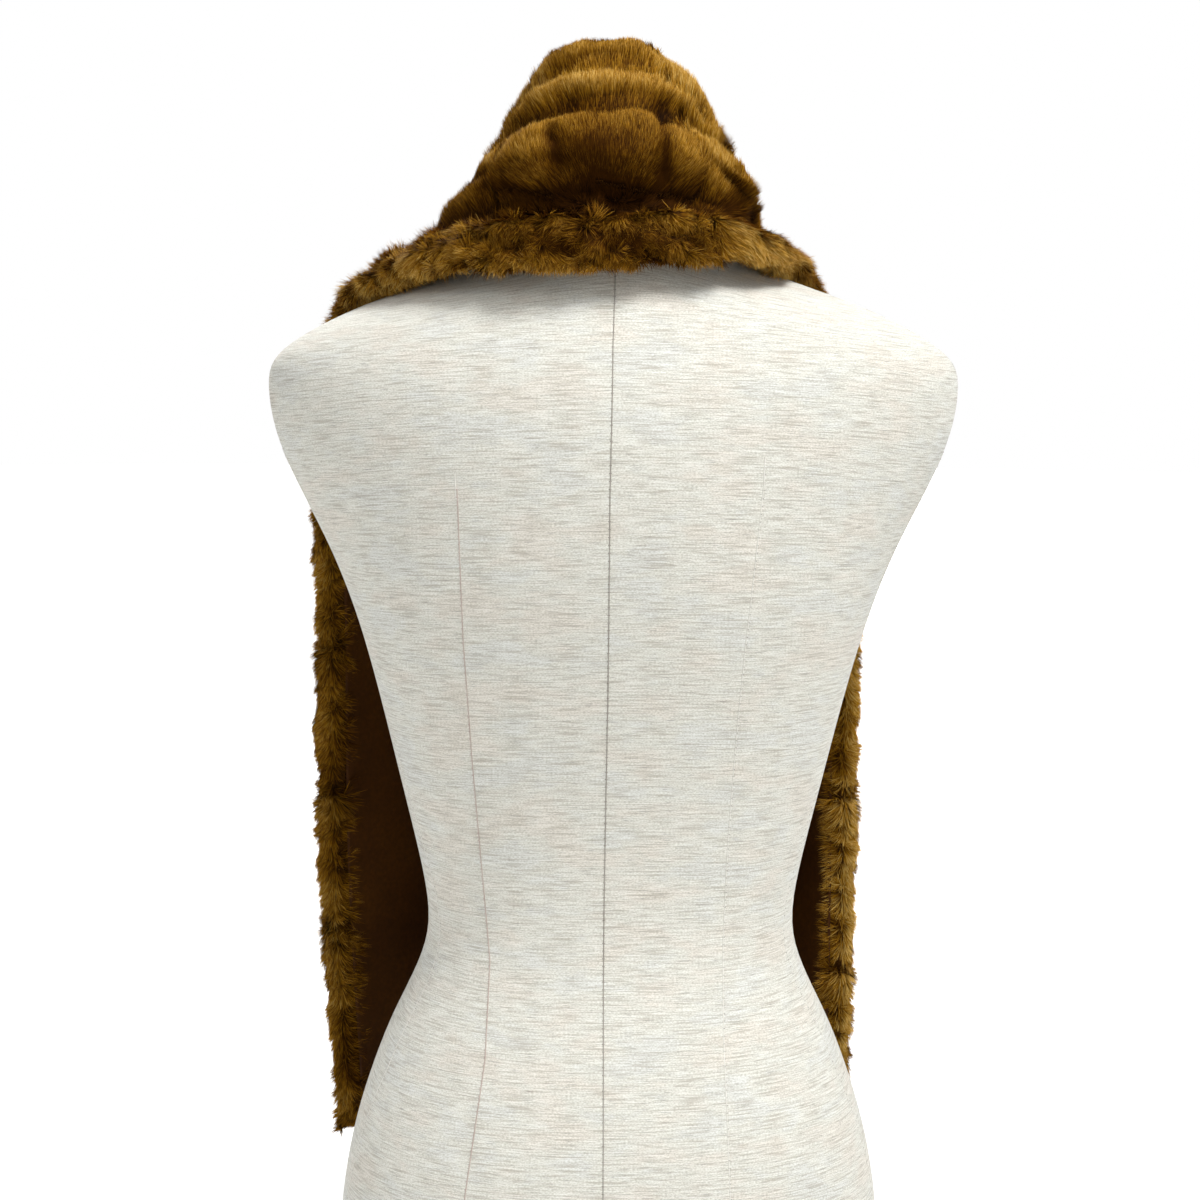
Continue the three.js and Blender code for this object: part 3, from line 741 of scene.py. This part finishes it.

# %% [markdown]
# Round the neck the strip is wider than the room it has, so it gathers into lengthwise folds. The
# solids hold the big ones. The finer ones are listed one by one, each as a path over the collar's back
# that is pressed in by a few millimetres, and unevenly, because fur never folds along a ruled line.
# Patches of painted light and shade make the fur there paler or darker, and painted shade darkens the folds.

# %% Folds, and patches of painted light and shade, on the collar's back
# Folds on the collar's back, where the strip's width is gathered: the depth and half width of each
# trough, and its path as x and z, all in millimetres. The one with a depth below nought is a ridge.
FOLDS = [
    {"depth": 1.0, "width": 3.2, "path": [(43, 734), (36, 744), (24, 749), (10, 752), (-1, 752), (-14, 749),
                                          (-27, 743), (-39, 733), (-49, 720)]},
    {"depth": 1.2, "width": 3.6, "path": [(57, 715), (43, 716), (33, 723), (21, 727), (5, 729), (-11, 730),
                                          (-24, 724), (-34, 716)]},
    {"depth": 4.2, "width": 3.6, "path": [(75, 677), (53, 675), (32, 674), (11, 678), (-10, 676), (-22, 675),
                                          (-43, 673), (-63, 673), (-77, 667)]},
    {"depth": 4.2, "width": 4.5, "path": [(86, 682), (78, 686), (64, 687), (48, 689), (40, 692)]},
    {"depth": 4.6, "width": 4.2, "path": [(41, 715), (38, 706), (34, 696), (32, 688)]},
    {"depth": 4.4, "width": 4.4, "path": [(-24, 724), (-25, 710), (-24, 697), (-21, 683)]},
    {"depth": 3.8, "width": 4.2, "path": [(-34, 716), (-43, 703), (-52, 692), (-64, 682), (-73, 675)]},
    {"depth": -2.4, "width": 5.0, "path": [(70, 660), (47, 666), (15, 668), (-8, 667), (-33, 669), (-49, 666),
                                           (-73, 660)]},
    {"depth": 3.2, "width": 3.6, "path": [(-47, 723), (-57, 711), (-65, 698), (-70, 689)]},
]

# Patches of painted light and shade, where the fur is paler or darker than its pelt: the patch's middle and
# reach as x and z in millimetres. The tier under the top arc gets painted light, and the foot of the big lobe
# painted deep shade.
PAINTED_LIGHT_PATCHES = [
    {"at": (5, 735), "reach": (34, 11), "tone": 0.05},
    {"at": (6, 718), "reach": (30, 8), "tone": -0.20},
    {"at": (8, 699), "reach": (34, 12), "tone": -0.46},
    {"at": (8, 684), "reach": (56, 8), "tone": -0.32},
    {"at": (68, 683), "reach": (20, 7), "tone": -0.16},
    {"at": (5, 656), "reach": (62, 13), "tone": -0.54},
    {"at": (0, 753), "reach": (50, 9), "tone": -0.07},
    {"at": (150, 625), "reach": (22, 14), "tone": 0.18},
    {"at": (-92, 646), "reach": (24, 18), "tone": 0.12},
    {"at": (80, 655), "reach": (34, 14), "tone": -0.10},
    {"at": (-45, 660), "reach": (24, 14), "tone": -0.10},
    {"at": (-50, 698), "reach": (11, 16), "tone": 0.06},
    ]


def unit(v):
    return v / np.maximum(np.linalg.norm(v, axis=-1, keepdims=True), 1e-9)


def path_distance(points, path):
    """The least distance from flat points to a path of straight stretches."""
    best = np.full(len(points), np.inf)
    for a, b in zip(path[:-1], path[1:]):
        along = b - a
        t = np.clip(((points - a) @ along) / (along @ along), 0, 1)
        best = np.minimum(best, np.linalg.norm(points - a - t[:, None] * along, axis=1))
    return best


def fold_depth(co, normal):
    """How deep the listed folds press each point of the collar's back."""
    seen = smooth_step(co[:, 1], 0.02, 0.04) * smooth_step(normal[:, 1], -0.2, 0.2)
    depth = np.zeros(len(co))
    for fold in FOLDS:
        path = np.array(fold["path"], float) * MM
        away = path_distance(co[:, [0, 2]], path) / (fold["width"] * MM)
        pressed = fold["depth"] * MM * np.exp(-(away**2))
        depth = np.where(np.abs(pressed) > np.abs(depth), pressed, depth)
    return depth * seen * np.clip(0.85 + 0.4 * waves(co, 0.034, 9), 0.25, 1.35)


# Painted light and shade from the patches, on the collar's back only.
def painted_light_tone(co, normal):
    seen = smooth_step(co[:, 1], 0.0, 0.03) * smooth_step(normal[:, 1], -0.3, 0.1)
    tone = np.zeros(len(co))
    for patch in PAINTED_LIGHT_PATCHES:
        off = (co[:, [0, 2]] - np.array(patch["at"]) * MM) / (np.array(patch["reach"]) * MM)
        tone += patch["tone"] * np.exp(-(off**2).sum(1))
    return tone * seen


print("folds", len(FOLDS), "patches", len(PAINTED_LIGHT_PATCHES))

# %% [markdown]
# The hair lies its own way on each part of the wrap. Above the main crease it stands up and fans
# out, below it the hair falls and curls, and on the fronts it hangs. It is worked out for each
# point, and the hairs read it later as named attributes.

# %% What a point of the pelt tells its hairs
COLLAR_PELTS = ("right_shoulder", "right_neck", "nape", "left_neck", "left_shoulder")
FRONTS_BELOW, COLLAR_ABOVE = 0.53, 0.62
FAN_MIDDLE, FAN_REACH = 0.008, 0.1
FAN_UP, FAN_DOWN = 0.45, 0.5
SPREAD, HANG = 1.6, (0, 0, -0.75)


def part_of(name):
    return "collar" if name in COLLAR_PELTS else "front"


def hair_facts(pelt, co, normal):
    """For each point: the way its hairs lie, how long they are and how mixed up."""
    neckward = unit(np.array(pelt["neckward"], float))
    along = co @ neckward
    across = (along - along.min()) / (along.max() - along.min())
    collar = smooth_step(co[:, 2], FRONTS_BELOW, COLLAR_ABOVE)
    above = smooth_step(across, pelt["parting"] - 0.05, pelt["parting"] + 0.05)
    fan = np.clip((co[:, 0] - FAN_MIDDLE) / FAN_REACH, -1, 1)
    sideways = np.stack([fan, 0 * fan, 0 * fan], axis=1)
    up = neckward + FAN_UP * sideways
    down = -neckward + FAN_DOWN * sideways
    standing = above[:, None] * up + (1 - above[:, None]) * down
    outward = -neckward * np.where(across < 0.5, 1, -1)[:, None] * np.abs(across - 0.5)[:, None] * SPREAD
    hanging = outward + np.array(HANG)
    lie = collar[:, None] * standing + (1 - collar[:, None]) * hanging
    lie -= normal * (lie * normal).sum(1, keepdims=True)
    lie = unit(lie)
    roll = collar * (1 - above)
    mess = 0.1 + pelt["curl"] * (0.8 * (1 - collar) + 0.9 * roll)
    # Fuller at the upper end of each hanging pelt, so that it stands over the one above as a ledge.
    rise = (co[:, 2] - co[:, 2].min()) / np.ptp(co[:, 2])
    fuller = 0.15 * smooth_step(rise, 0.7, 0.95)
    thinner = 0.12 * smooth_step(-rise, -0.25, -0.03)
    step = (1 - collar) * (fuller - thinner)
    trim = 0.3 * collar * smooth_step(across, 0.8, 1.0)
    pile = 1 + step - trim + 0.1 * waves(co, 0.03, 11)
    # Places that differ only along the lie of the fur come close together, which draws out streaks.
    middle = co.mean(0)
    combed = co - lie * ((co - middle) * lie).sum(1, keepdims=True) * 0.8
    return {"lie": lie, "mess": mess, "pile": pile, "combed": combed, "roll": roll, "step": step}


print("fan in metres", FAN_MIDDLE, FAN_REACH)

# %% [markdown]
# The underfur is the smooth copy drawn in from the tips, with soft lumps and the listed folds.
# Where two pelts meet it doesn't move away from its neighbour, so no gap opens at the join, and
# where a pelt is thin, beside the lining, it hardly moves at all.

# %% The underfur
HAIR_FACTS = ("lie", "cover", "mess", "pile", "combed", "tone")
PILE_SHOWN, PILE_SHARE = 3.2 * MM, 0.34
JOIN_REACH = (1.5 * MM, 4 * MM)
EDGE_REACH, EDGE_LEAN = (4 * MM, 9 * MM), 0.8
EDGE_LENGTH = {"collar": 0.1, "front": 0.5}
BARE_BY_LINING, FULL_BY_LINING = (0.9 * MM, 1.8 * MM), (2.5 * MM, 7 * MM)
ROOMY = (6 * MM, 14 * MM)
LINING_SIGHT = 20 * MM
# How squarely a point faces the next pelt, where the hairs thin out and where they end.
RIM_FACING = {"collar": (0.5, 0.8), "front": (0.78, 0.97)}
LUMP, CURL_LUMP = {"collar": 0.9 * MM, "front": 1.8 * MM}, 1.1 * MM
LEDGE, LEDGE_MOST = 9 * MM, 1.1 * MM
names = [pelt["name"] for pelt in PELTS]


def beside(name):
    place = names.index(name)
    return [names[k] for k in (place - 1, place + 1) if 0 <= k < len(names)]


def store(mesh, name, values):
    kind = "FLOAT_VECTOR" if values.ndim == 2 else "FLOAT"
    attribute = mesh.attributes.new(name, kind, "POINT")
    attribute.data.foreach_set("vector" if values.ndim == 2 else "value", values.astype(np.float32).ravel())


def wall_thickness(piece, co, normal):
    own = tree_of([piece])
    start = co - normal * 0.3 * MM
    return np.array([own.ray_cast(Vector(p), Vector(-n))[3] or 0 for p, n in zip(start, normal)])


def nearest(tree, co):
    """The nearest point of a tree and its distance, for each point."""
    found = [tree.find_nearest(Vector(p)) for p in co]
    return np.array([tuple(f[0]) for f in found]), np.array([f[3] for f in found])


def under_lining(co, normal):
    """Whether the lining lies straight over each point."""
    return np.array([
        lining_tree.ray_cast(Vector(p), Vector(n), LINING_SIGHT)[0] is not None for p, n in zip(co, normal)
    ])


def plan_underfur(pelt):
    """What each point of a pelt tells its hairs, and the place that it moves to."""
    name = pelt["name"]
    part = part_of(name)
    piece = copies[name]
    co, normal = mesh_arrays(piece.data)
    facts = hair_facts(pelt, co, normal)
    # Hairs along the lining's edge lean over it, and hide it.
    lining_near, lining_away = nearest(lining_tree, co)
    edge = 1 - smooth_step(lining_away, *EDGE_REACH)
    toward = lining_near - co
    toward = unit(toward - normal * (toward * normal).sum(1, keepdims=True))
    lean_in = EDGE_LEAN * edge[:, None]
    facts["lie"] = unit(facts["lie"] * (1 - lean_in) + toward * lean_in)
    near, gap = nearest(tree_of([copies[other] for other in beside(name)]), co)
    to_next = unit(near - co)
    facing = (normal * to_next).sum(1)
    joined = 1 - smooth_step(gap, *JOIN_REACH)
    thickness = wall_thickness(piece, co, normal)
    on_fur = smooth_step(lining_away, *FULL_BY_LINING)
    room = smooth_step(thickness, *ROOMY) * on_fur
    drawn_in = np.minimum(PILE_SHOWN, PILE_SHARE * thickness) * on_fur
    curled = facts["roll"] * pelt["curl"] * CURL_LUMP * waves(co, 0.012, 21)
    swell = np.where(co[:, 2] < FRONTS_BELOW, LUMP["front"], LUMP["collar"])
    lumps = room * curled + room * swell * waves(co, 0.026, 3)
    ledge = np.clip(LEDGE * room * facts["step"], -LEDGE_MOST, 0)
    facts["troughs"] = room * fold_depth(co, normal)
    way = normal - to_next * (joined * facing)[:, None]
    moved = co + way * (lumps + ledge - drawn_in - facts["troughs"])[:, None]
    ended = joined * smooth_step(facing, *RIM_FACING[part])
    facts["cover"] = smooth_step(lining_away, *BARE_BY_LINING) * (1 - ended)
    facts["cover"] *= 1 - under_lining(co, normal)
    if part == "front":
        # What faces back shows past the form in the photo, so its hairs grow closer.
        facts["cover"] *= 0.93 + 1.1 * smooth_step(normal[:, 1], -0.5, 0.1)
    facts["pile"] = (facts["pile"] + 0.12 * joined) * (1 + EDGE_LENGTH[part] * edge)
    facts["mess"] += 0.1 * joined + 0.25 * edge
    facts["edge"] = edge
    return facts, moved


def shape_underfur(pelt, facts, moved):
    piece = copies[pelt["name"]]
    piece.data.vertices.foreach_set("co", moved.ravel())
    piece.data.update()
    piece.data.shade_smooth()
    co, normal = mesh_arrays(piece.data)
    rounds = 40 if pelt["name"] in COLLAR_PELTS else 12
    relief = ((co - smoothed(piece.data, co, rounds)) * normal).sum(1)
    tone = pelt["tone"] - 0.06 * facts["roll"]
    # Painted shade in the hollows of the underfur and painted light on its ridges, stronger in the roll.
    tone += (0.12 + 0.14 * facts["roll"]) * np.clip(relief / (1.2 * MM), -1.6, 1)
    # Painted shade in the folds.
    tone -= 0.22 * np.clip(facts["troughs"] / (3 * MM), 0, 1)
    # The fronts are made paler, and painted shade darkens the fronts on the wearer's left, most where their
    # fur faces back.
    fronts = 1 - smooth_step(co[:, 2], FRONTS_BELOW, COLLAR_ABOVE)
    shaded = smooth_step(co[:, 0], -0.08, 0.08)
    tone += fronts * (0.16 - shaded * (0.06 + 0.14 * smooth_step(normal[:, 1], -0.2, 0.5)))
    # Patches of painted light and shade on the collar's back, and painted shade on the fronts' fur along the
    # lining's edge.
    tone += painted_light_tone(co, normal) - 0.3 * fronts * facts["edge"]
    facts["tone"] = tone
    for key in HAIR_FACTS:
        store(piece.data, key, facts[key])
    return piece


copies = {
    name: smooth_copy("pelt_" + name, "underfur_" + name, 2 if name in COLLAR_PELTS else 1,
                      ["pelt_" + other for other in beside(name)])
    for name in names
}
shapes = [(pelt, *plan_underfur(pelt)) for pelt in PELTS]
underfur = {pelt["name"]: shape_underfur(pelt, facts, moved) for pelt, facts, moved in shapes}
print("underfur faces", sum(len(p.data.polygons) for p in underfur.values()))

# %% [markdown]
# The hairs are grown by Geometry Nodes. Points are scattered over the underfur, and each gets a
# blade: one narrow triangle, as wide at its root as a few real hairs together. Its way is the sum
# of five things: straight out, along the lie of the fur, round in soft curls, towards the middle
# of its lock, and a random stray. The middles of the locks come from a Voronoi texture, whose
# Position output is the nearest cell's own point.

# %% One blade of hair
BLADE_WIDTH = 0.72 * MM
BLADE_LENGTH = {"collar": 9.0 * MM, "front": 7.5 * MM}


def make_blade():
    """A leaf of unit length along Z, one unit wide at its root, that leans a little to +Y."""
    points = [(-0.5, 0, 0), (0.5, 0, 0), (0, 0.2, 0.97)]
    blade = mesh_object("blade", points, [(0, 1, 2)])
    store(blade.data, "side", np.array([-1, 1, 0], float))
    store(blade.data, "tip", np.array([0, 0, 1], float))
    return blade


blade = make_blade()
print("blade faces", len(blade.data.polygons))

# %% The tree that grows the hairs
CURL_SCALE, CURL_STRENGTH = 95.0, 4.8
LEAST_OUT = 0.24


def named(tree, name, kind="FLOAT"):
    return add_node(tree, "GeometryNodeInputNamedAttribute", {"Name": name}, data_type=kind).outputs[0]


def stored(tree, geometry, name, value, kind="FLOAT", domain="POINT"):
    node = add_node(tree, "GeometryNodeStoreNamedAttribute", {"Geometry": geometry, "Name": name},
                    data_type=kind, domain=domain)
    tree.links.new(value, node.inputs["Value"])
    return node.outputs[0]


def random_number(tree, low, high, seed):
    node = add_node(tree, "FunctionNodeRandomValue", {2: low, 3: high, "Seed": seed}, data_type="FLOAT")
    return node.outputs[1]


def dot_node(tree, a, b):
    node = add_node(tree, "ShaderNodeVectorMath", {0: a, 1: b}, operation="DOT_PRODUCT")
    return node.outputs["Value"]


def curl_field(tree, place, ground):
    """Soft swirls about a centimetre wide, which lie mostly along the ground."""
    noise = add_node(tree, "ShaderNodeTexNoise", {"Vector": place, "Scale": CURL_SCALE, "Detail": 1.0})
    curls = vector_node(tree, "SUBTRACT", noise.outputs["Color"], (0.5, 0.5, 0.5))
    curls = vector_node(tree, "SCALE", curls, scale=CURL_STRENGTH)
    rising = math_node(tree, "MULTIPLY", dot_node(tree, curls, ground), 0.75)
    return vector_node(tree, "SUBTRACT", curls, vector_node(tree, "SCALE", ground, scale=rising))


def growing_way(tree, given, ground, place, locks):
    """Out, along the lie of the fur, with the curl, towards the lock's middle, and a stray."""
    mess = named(tree, "mess")
    to_lock = vector_node(tree, "SUBTRACT", locks.outputs["Position"], place)
    strength = math_node(tree, "MULTIPLY", given["Lock Pull"], math_node(tree, "ADD", 0.25, mess))
    strength = math_node(tree, "DIVIDE", strength, given["Lock Size"])
    strays = add_node(tree, "FunctionNodeRandomValue", {0: (-1, -1, -1), 1: (1, 1, 1), "Seed": 7},
                      data_type="FLOAT_VECTOR").outputs[0]
    straying = math_node(tree, "ADD", 0.10, math_node(tree, "MULTIPLY", mess, 0.2))
    way = vector_node(tree, "SCALE", ground, scale=given["Lift"])
    shares = [
        (named(tree, "lie", "FLOAT_VECTOR"), given["Lean"]), (curl_field(tree, place, ground), mess),
        (to_lock, strength), (strays, straying)]
    for share, amount in shares:
        way = vector_node(tree, "ADD", way, vector_node(tree, "SCALE", share, scale=amount))
    way = vector_node(tree, "NORMALIZE", way)
    # A hair never grows into the leather: its way keeps some of the straight out direction.
    lacking = math_node(tree, "SUBTRACT", LEAST_OUT, dot_node(tree, way, ground))
    lacking = math_node(tree, "MAXIMUM", lacking, 0.0)
    way = vector_node(tree, "ADD", way, vector_node(tree, "SCALE", ground, scale=lacking))
    return vector_node(tree, "NORMALIZE", way)


def blade_turn(tree, way, ground):
    """Turns a blade to its way, flat side up, and rolls it a little."""
    fall = vector_node(tree, "SUBTRACT", way, vector_node(tree, "SCALE", ground, scale=1.2))
    turn = add_node(tree, "FunctionNodeAxesToRotation", {"Primary Axis": way, "Secondary Axis": fall},
                    primary_axis="Z", secondary_axis="Y").outputs[0]
    roll = add_node(tree, "FunctionNodeAxisAngleToRotation", {
        "Axis": (0, 0, 1), "Angle": random_number(tree, -0.45, 0.45, 3)}).outputs[0]
    return add_node(tree, "FunctionNodeRotateRotation", {"Rotation": turn, "Rotate By": roll},
                    rotation_space="LOCAL").outputs[0]


def blade_size(tree, given):
    longer = math_node(tree, "MULTIPLY", random_number(tree, 0.72, 1.12, 4), named(tree, "pile"))
    length = math_node(tree, "MULTIPLY", longer, given["Length"])
    width = math_node(tree, "MULTIPLY", random_number(tree, 0.7, 1.25, 5), given["Width"])
    return add_node(tree, "ShaderNodeCombineXYZ", {"X": width, "Y": length, "Z": length}).outputs[0]


def hair_tone(tree, place, locks):
    """Dark nought to pale one: the pelt's tone with its painted light and shade, broad clouds, combed
    streaks, locks and chance.
    """
    broad = add_node(tree, "ShaderNodeTexNoise", {"Vector": place, "Scale": 38.0, "Detail": 2.0}).outputs[0]
    streaks = add_node(tree, "ShaderNodeTexNoise", {
        "Vector": named(tree, "combed", "FLOAT_VECTOR"), "Scale": 330.0, "Detail": 2.0}).outputs[0]
    tone = math_node(tree, "ADD", named(tree, "tone"), math_node(tree, "MULTIPLY", broad, 0.45))
    tone = math_node(tree, "ADD", tone, math_node(tree, "MULTIPLY", streaks, 0.45))
    lock = add_node(tree, "FunctionNodeSeparateColor", {0: locks.outputs["Color"]}).outputs[0]
    lock = math_node(tree, "MULTIPLY", math_node(tree, "SUBTRACT", lock, 0.45), named(tree, "mess"))
    tone = math_node(tree, "ADD", tone, math_node(tree, "MULTIPLY", lock, 0.16))
    return math_node(tree, "ADD", tone, random_number(tree, -0.24, 0.24, 6), clamp=True)


def make_fur_tree():
    tree = bpy.data.node_groups.new("growing_fur", "GeometryNodeTree")
    given = group_inputs(tree, [
        ("Geometry", "Geometry", None), ("Blade", "Object", None), ("Density", "Float", 1e6),
        ("Length", "Float", BLADE_LENGTH["collar"]), ("Width", "Float", BLADE_WIDTH), ("Lift", "Float", 0.5),
        ("Lean", "Float", 0.85), ("Lock Size", "Float", 7 * MM), ("Lock Pull", "Float", 0.6),
        ("Seed", "Int", 1), ("Material", "Material", None)])
    density = math_node(tree, "MULTIPLY", named(tree, "cover"), given["Density"])
    spread = add_node(tree, "GeometryNodeDistributePointsOnFaces", {
        "Mesh": given["Geometry"], "Density": density, "Seed": given["Seed"]}, distribute_method="RANDOM")
    points, normal = spread.outputs["Points"], spread.outputs["Normal"]
    points = stored(tree, points, "ground", normal, "FLOAT_VECTOR")
    ground = named(tree, "ground", "FLOAT_VECTOR")
    place = add_node(tree, "GeometryNodeInputPosition").outputs[0]
    locks = add_node(tree, "ShaderNodeTexVoronoi", {
        "Vector": place, "Scale": math_node(tree, "DIVIDE", 1.0, given["Lock Size"])}, feature="F1")
    way = growing_way(tree, given, ground, place, locks)
    points = stored(tree, points, "shade", hair_tone(tree, place, locks))
    points = stored(tree, points, "growth", way, "FLOAT_VECTOR")
    template = add_node(tree, "GeometryNodeObjectInfo", {"Object": given["Blade"]}).outputs["Geometry"]
    hairs = add_node(tree, "GeometryNodeInstanceOnPoints", {
        "Points": points, "Instance": template, "Rotation": blade_turn(tree, way, ground),
        "Scale": blade_size(tree, given)}).outputs[0]
    real = add_node(tree, "GeometryNodeRealizeInstances", {0: hairs}).outputs[0]
    done = add_node(tree, "GeometryNodeSetMaterial", {"Geometry": real, "Material": given["Material"]})
    tree.links.new(done.outputs[0], tree.nodes.new("NodeGroupOutput").inputs[0])
    return tree


fur_tree = make_fur_tree()
print("fur tree nodes", len(fur_tree.nodes))

# %% [markdown]
# A hair is dark at its root and golden at its tip. Both its tone and its place from root to tip
# are written into one UV map: u is the tone and v the place along the hair. The material needs no
# more than that square of colours, and an export can bake it without losing a single hair.
# The name of the map is the one that the exporter keeps.

# %% The hairs' material
FUR_MAP = "OFBake"


def hair_material():
    material, tree, shader = new_material("golden_fur")
    uv = add_node(tree, "ShaderNodeUVMap", uv_map=FUR_MAP).outputs[0]
    parts = add_node(tree, "ShaderNodeSeparateXYZ", {0: uv}).outputs
    tips = colour_ramp(tree, parts[0], [(0.1, (0.045, 0.0145, 0.0006)), (0.35, (0.175, 0.070, 0.003)),
                                        (0.62, (0.42, 0.198, 0.011)), (0.95, (0.78, 0.515, 0.145))])
    roots = colour_ramp(tree, parts[0], [(0.0, (0.008, 0.0022, 0.0001)), (1.0, (0.06, 0.022, 0.001))])
    rise = colour_ramp(tree, parts[1], [(0.08, (0, 0, 0)), (0.4, (0.5, 0.5, 0.5)), (0.75, (1, 1, 1))])
    hair = mixed_colour(tree, rise, roots, tips)
    # Only the tips of the paler hairs are made paler still.
    tip_paling = colour_ramp(tree, parts[1], [(0.65, (0, 0, 0)), (1.0, (0.4, 0.4, 0.4))])
    paler = colour_ramp(tree, parts[0], [(0.3, (0, 0, 0)), (0.85, (1, 1, 1))])
    tip_paling = math_node(tree, "MULTIPLY", tip_paling, paler)
    hair = mixed_colour(tree, tip_paling, hair, (0.85, 0.60, 0.22, 1))
    tree.links.new(hair, shader.inputs["Base Color"])
    shader.inputs["Roughness"].default_value = 0.7
    shader.inputs["Specular IOR Level"].default_value = 0.03
    return material


def underfur_material():
    material, tree, shader = new_material("dark_underfur")
    place = add_node(tree, "ShaderNodeTexCoord").outputs["Object"]
    mask = uneven_mask(tree, place, 60.0, 900.0, 0.55)
    base = colour_ramp(tree, mask, [(0.3, (0.022, 0.0075, 0.0004)), (0.6, (0.070, 0.027, 0.0016)),
                                    (0.8, (0.13, 0.056, 0.005))])
    tree.links.new(base, shader.inputs["Base Color"])
    shader.inputs["Roughness"].default_value = 0.9
    shader.inputs["Specular IOR Level"].default_value = 0.1
    tufts = add_node(tree, "ShaderNodeTexNoise", {"Vector": place, "Scale": 700.0, "Detail": 3.0}).outputs[0]
    bump = add_node(tree, "ShaderNodeBump", {"Strength": 0.9, "Distance": 1.2 * MM, "Height": tufts})
    tree.links.new(bump.outputs[0], shader.inputs["Normal"])
    return material


golden_fur = hair_material()
dark_underfur = underfur_material()
print("fur materials", golden_fur.name, dark_underfur.name)

# %% [markdown]
# Flat leaves would each catch the light on their own and look like grass. Real fur is lit as one
# soft mass, because a hair is round. So every hair's normals are set one by one: mostly the normal
# of the ground that it grows from, bent a little by the way the hair itself points.

# %% Growing the fur
HAIRS_PER_MM2 = {"collar": 4.9, "front": 1.8}
LOCK_SIZE = {"collar": 5.5 * MM, "front": 5 * MM}
HAIR_LIFT, HAIR_LEAN, LOCK_PULL = 0.38, 0.85, 0.3


def read_vectors(mesh, name, size=3):
    data = np.zeros(len(mesh.vertices) * size)
    mesh.attributes[name].data.foreach_get("vector" if size == 3 else "value", data)
    return data.reshape(-1, size) if size == 3 else data


def soften(mesh):
    """Writes the hairs' UV map and their soft normals."""
    ground = read_vectors(mesh, "ground")
    growth = read_vectors(mesh, "growth")
    shade, tip, side = (read_vectors(mesh, name, 1) for name in ("shade", "tip", "side"))
    bent = unit(ground - growth * (ground * growth).sum(1, keepdims=True))
    soft = unit(0.7 * unit(ground) + 0.45 * bent * tip[:, None] + 0.12 * growth)
    mesh.shade_smooth()
    mesh.normals_split_custom_set_from_vertices(soft.astype(np.float32))
    corner = np.zeros(len(mesh.loops), np.int32)
    mesh.loops.foreach_get("vertex_index", corner)
    u = 0.02 + 0.96 * np.clip(shade, 0, 1) + 0.004 * side
    uv = np.stack([u, 0.02 + 0.96 * tip], axis=1)[corner]
    layer = mesh.uv_layers.new(name=FUR_MAP)
    layer.data.foreach_set("uv", uv.astype(np.float32).ravel())
    for name in ("ground", "growth", "side", "tip", "shade", *HAIR_FACTS):
        if name in mesh.attributes:
            mesh.attributes.remove(mesh.attributes[name])


def grow_fur(pelt, seed):
    name = pelt["name"]
    part = part_of(name)
    fur = bpy.data.objects.new("fur_" + name, underfur[name].data.copy())
    bpy.context.scene.collection.objects.link(fur)
    thinned, widened = ((1, 1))
    run_nodes(fur, fur_tree, {
        "Blade": blade, "Density": HAIRS_PER_MM2[part] * 1e6 * thinned, "Length": BLADE_LENGTH[part],
        "Width": BLADE_WIDTH * widened, "Lift": HAIR_LIFT, "Lean": HAIR_LEAN,
        "Lock Size": LOCK_SIZE[part], "Lock Pull": LOCK_PULL, "Seed": seed, "Material": golden_fur})
    soften(fur.data)
    return fur


def fullness(piece, flat):
    """How much larger one face of the soft body is than its flat cut."""
    return round(sum(f.area for f in piece.data.polygons) / 2 / (flat[0] * flat[1]), 2)


total, full = {}, {}
for seed, pelt in enumerate(PELTS, start=1):
    name = pelt["name"]
    fur = grow_fur(pelt, seed)
    total[name] = len(fur.data.polygons)
    under = underfur[name]
    for key in HAIR_FACTS:
        under.data.attributes.remove(under.data.attributes[key])
    under.data.materials.append(dark_underfur)
    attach(under, "root")
    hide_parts("pelt_" + name)
    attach(fur, "root")
    cut = (STRIP_WIDTH * MM, CUT_RUN[name] * MM)
    full[name] = fullness(under, cut)
bpy.data.objects.remove(blade)
print("hair triangles", total, "in all", sum(total.values()))
print("fullness", full)
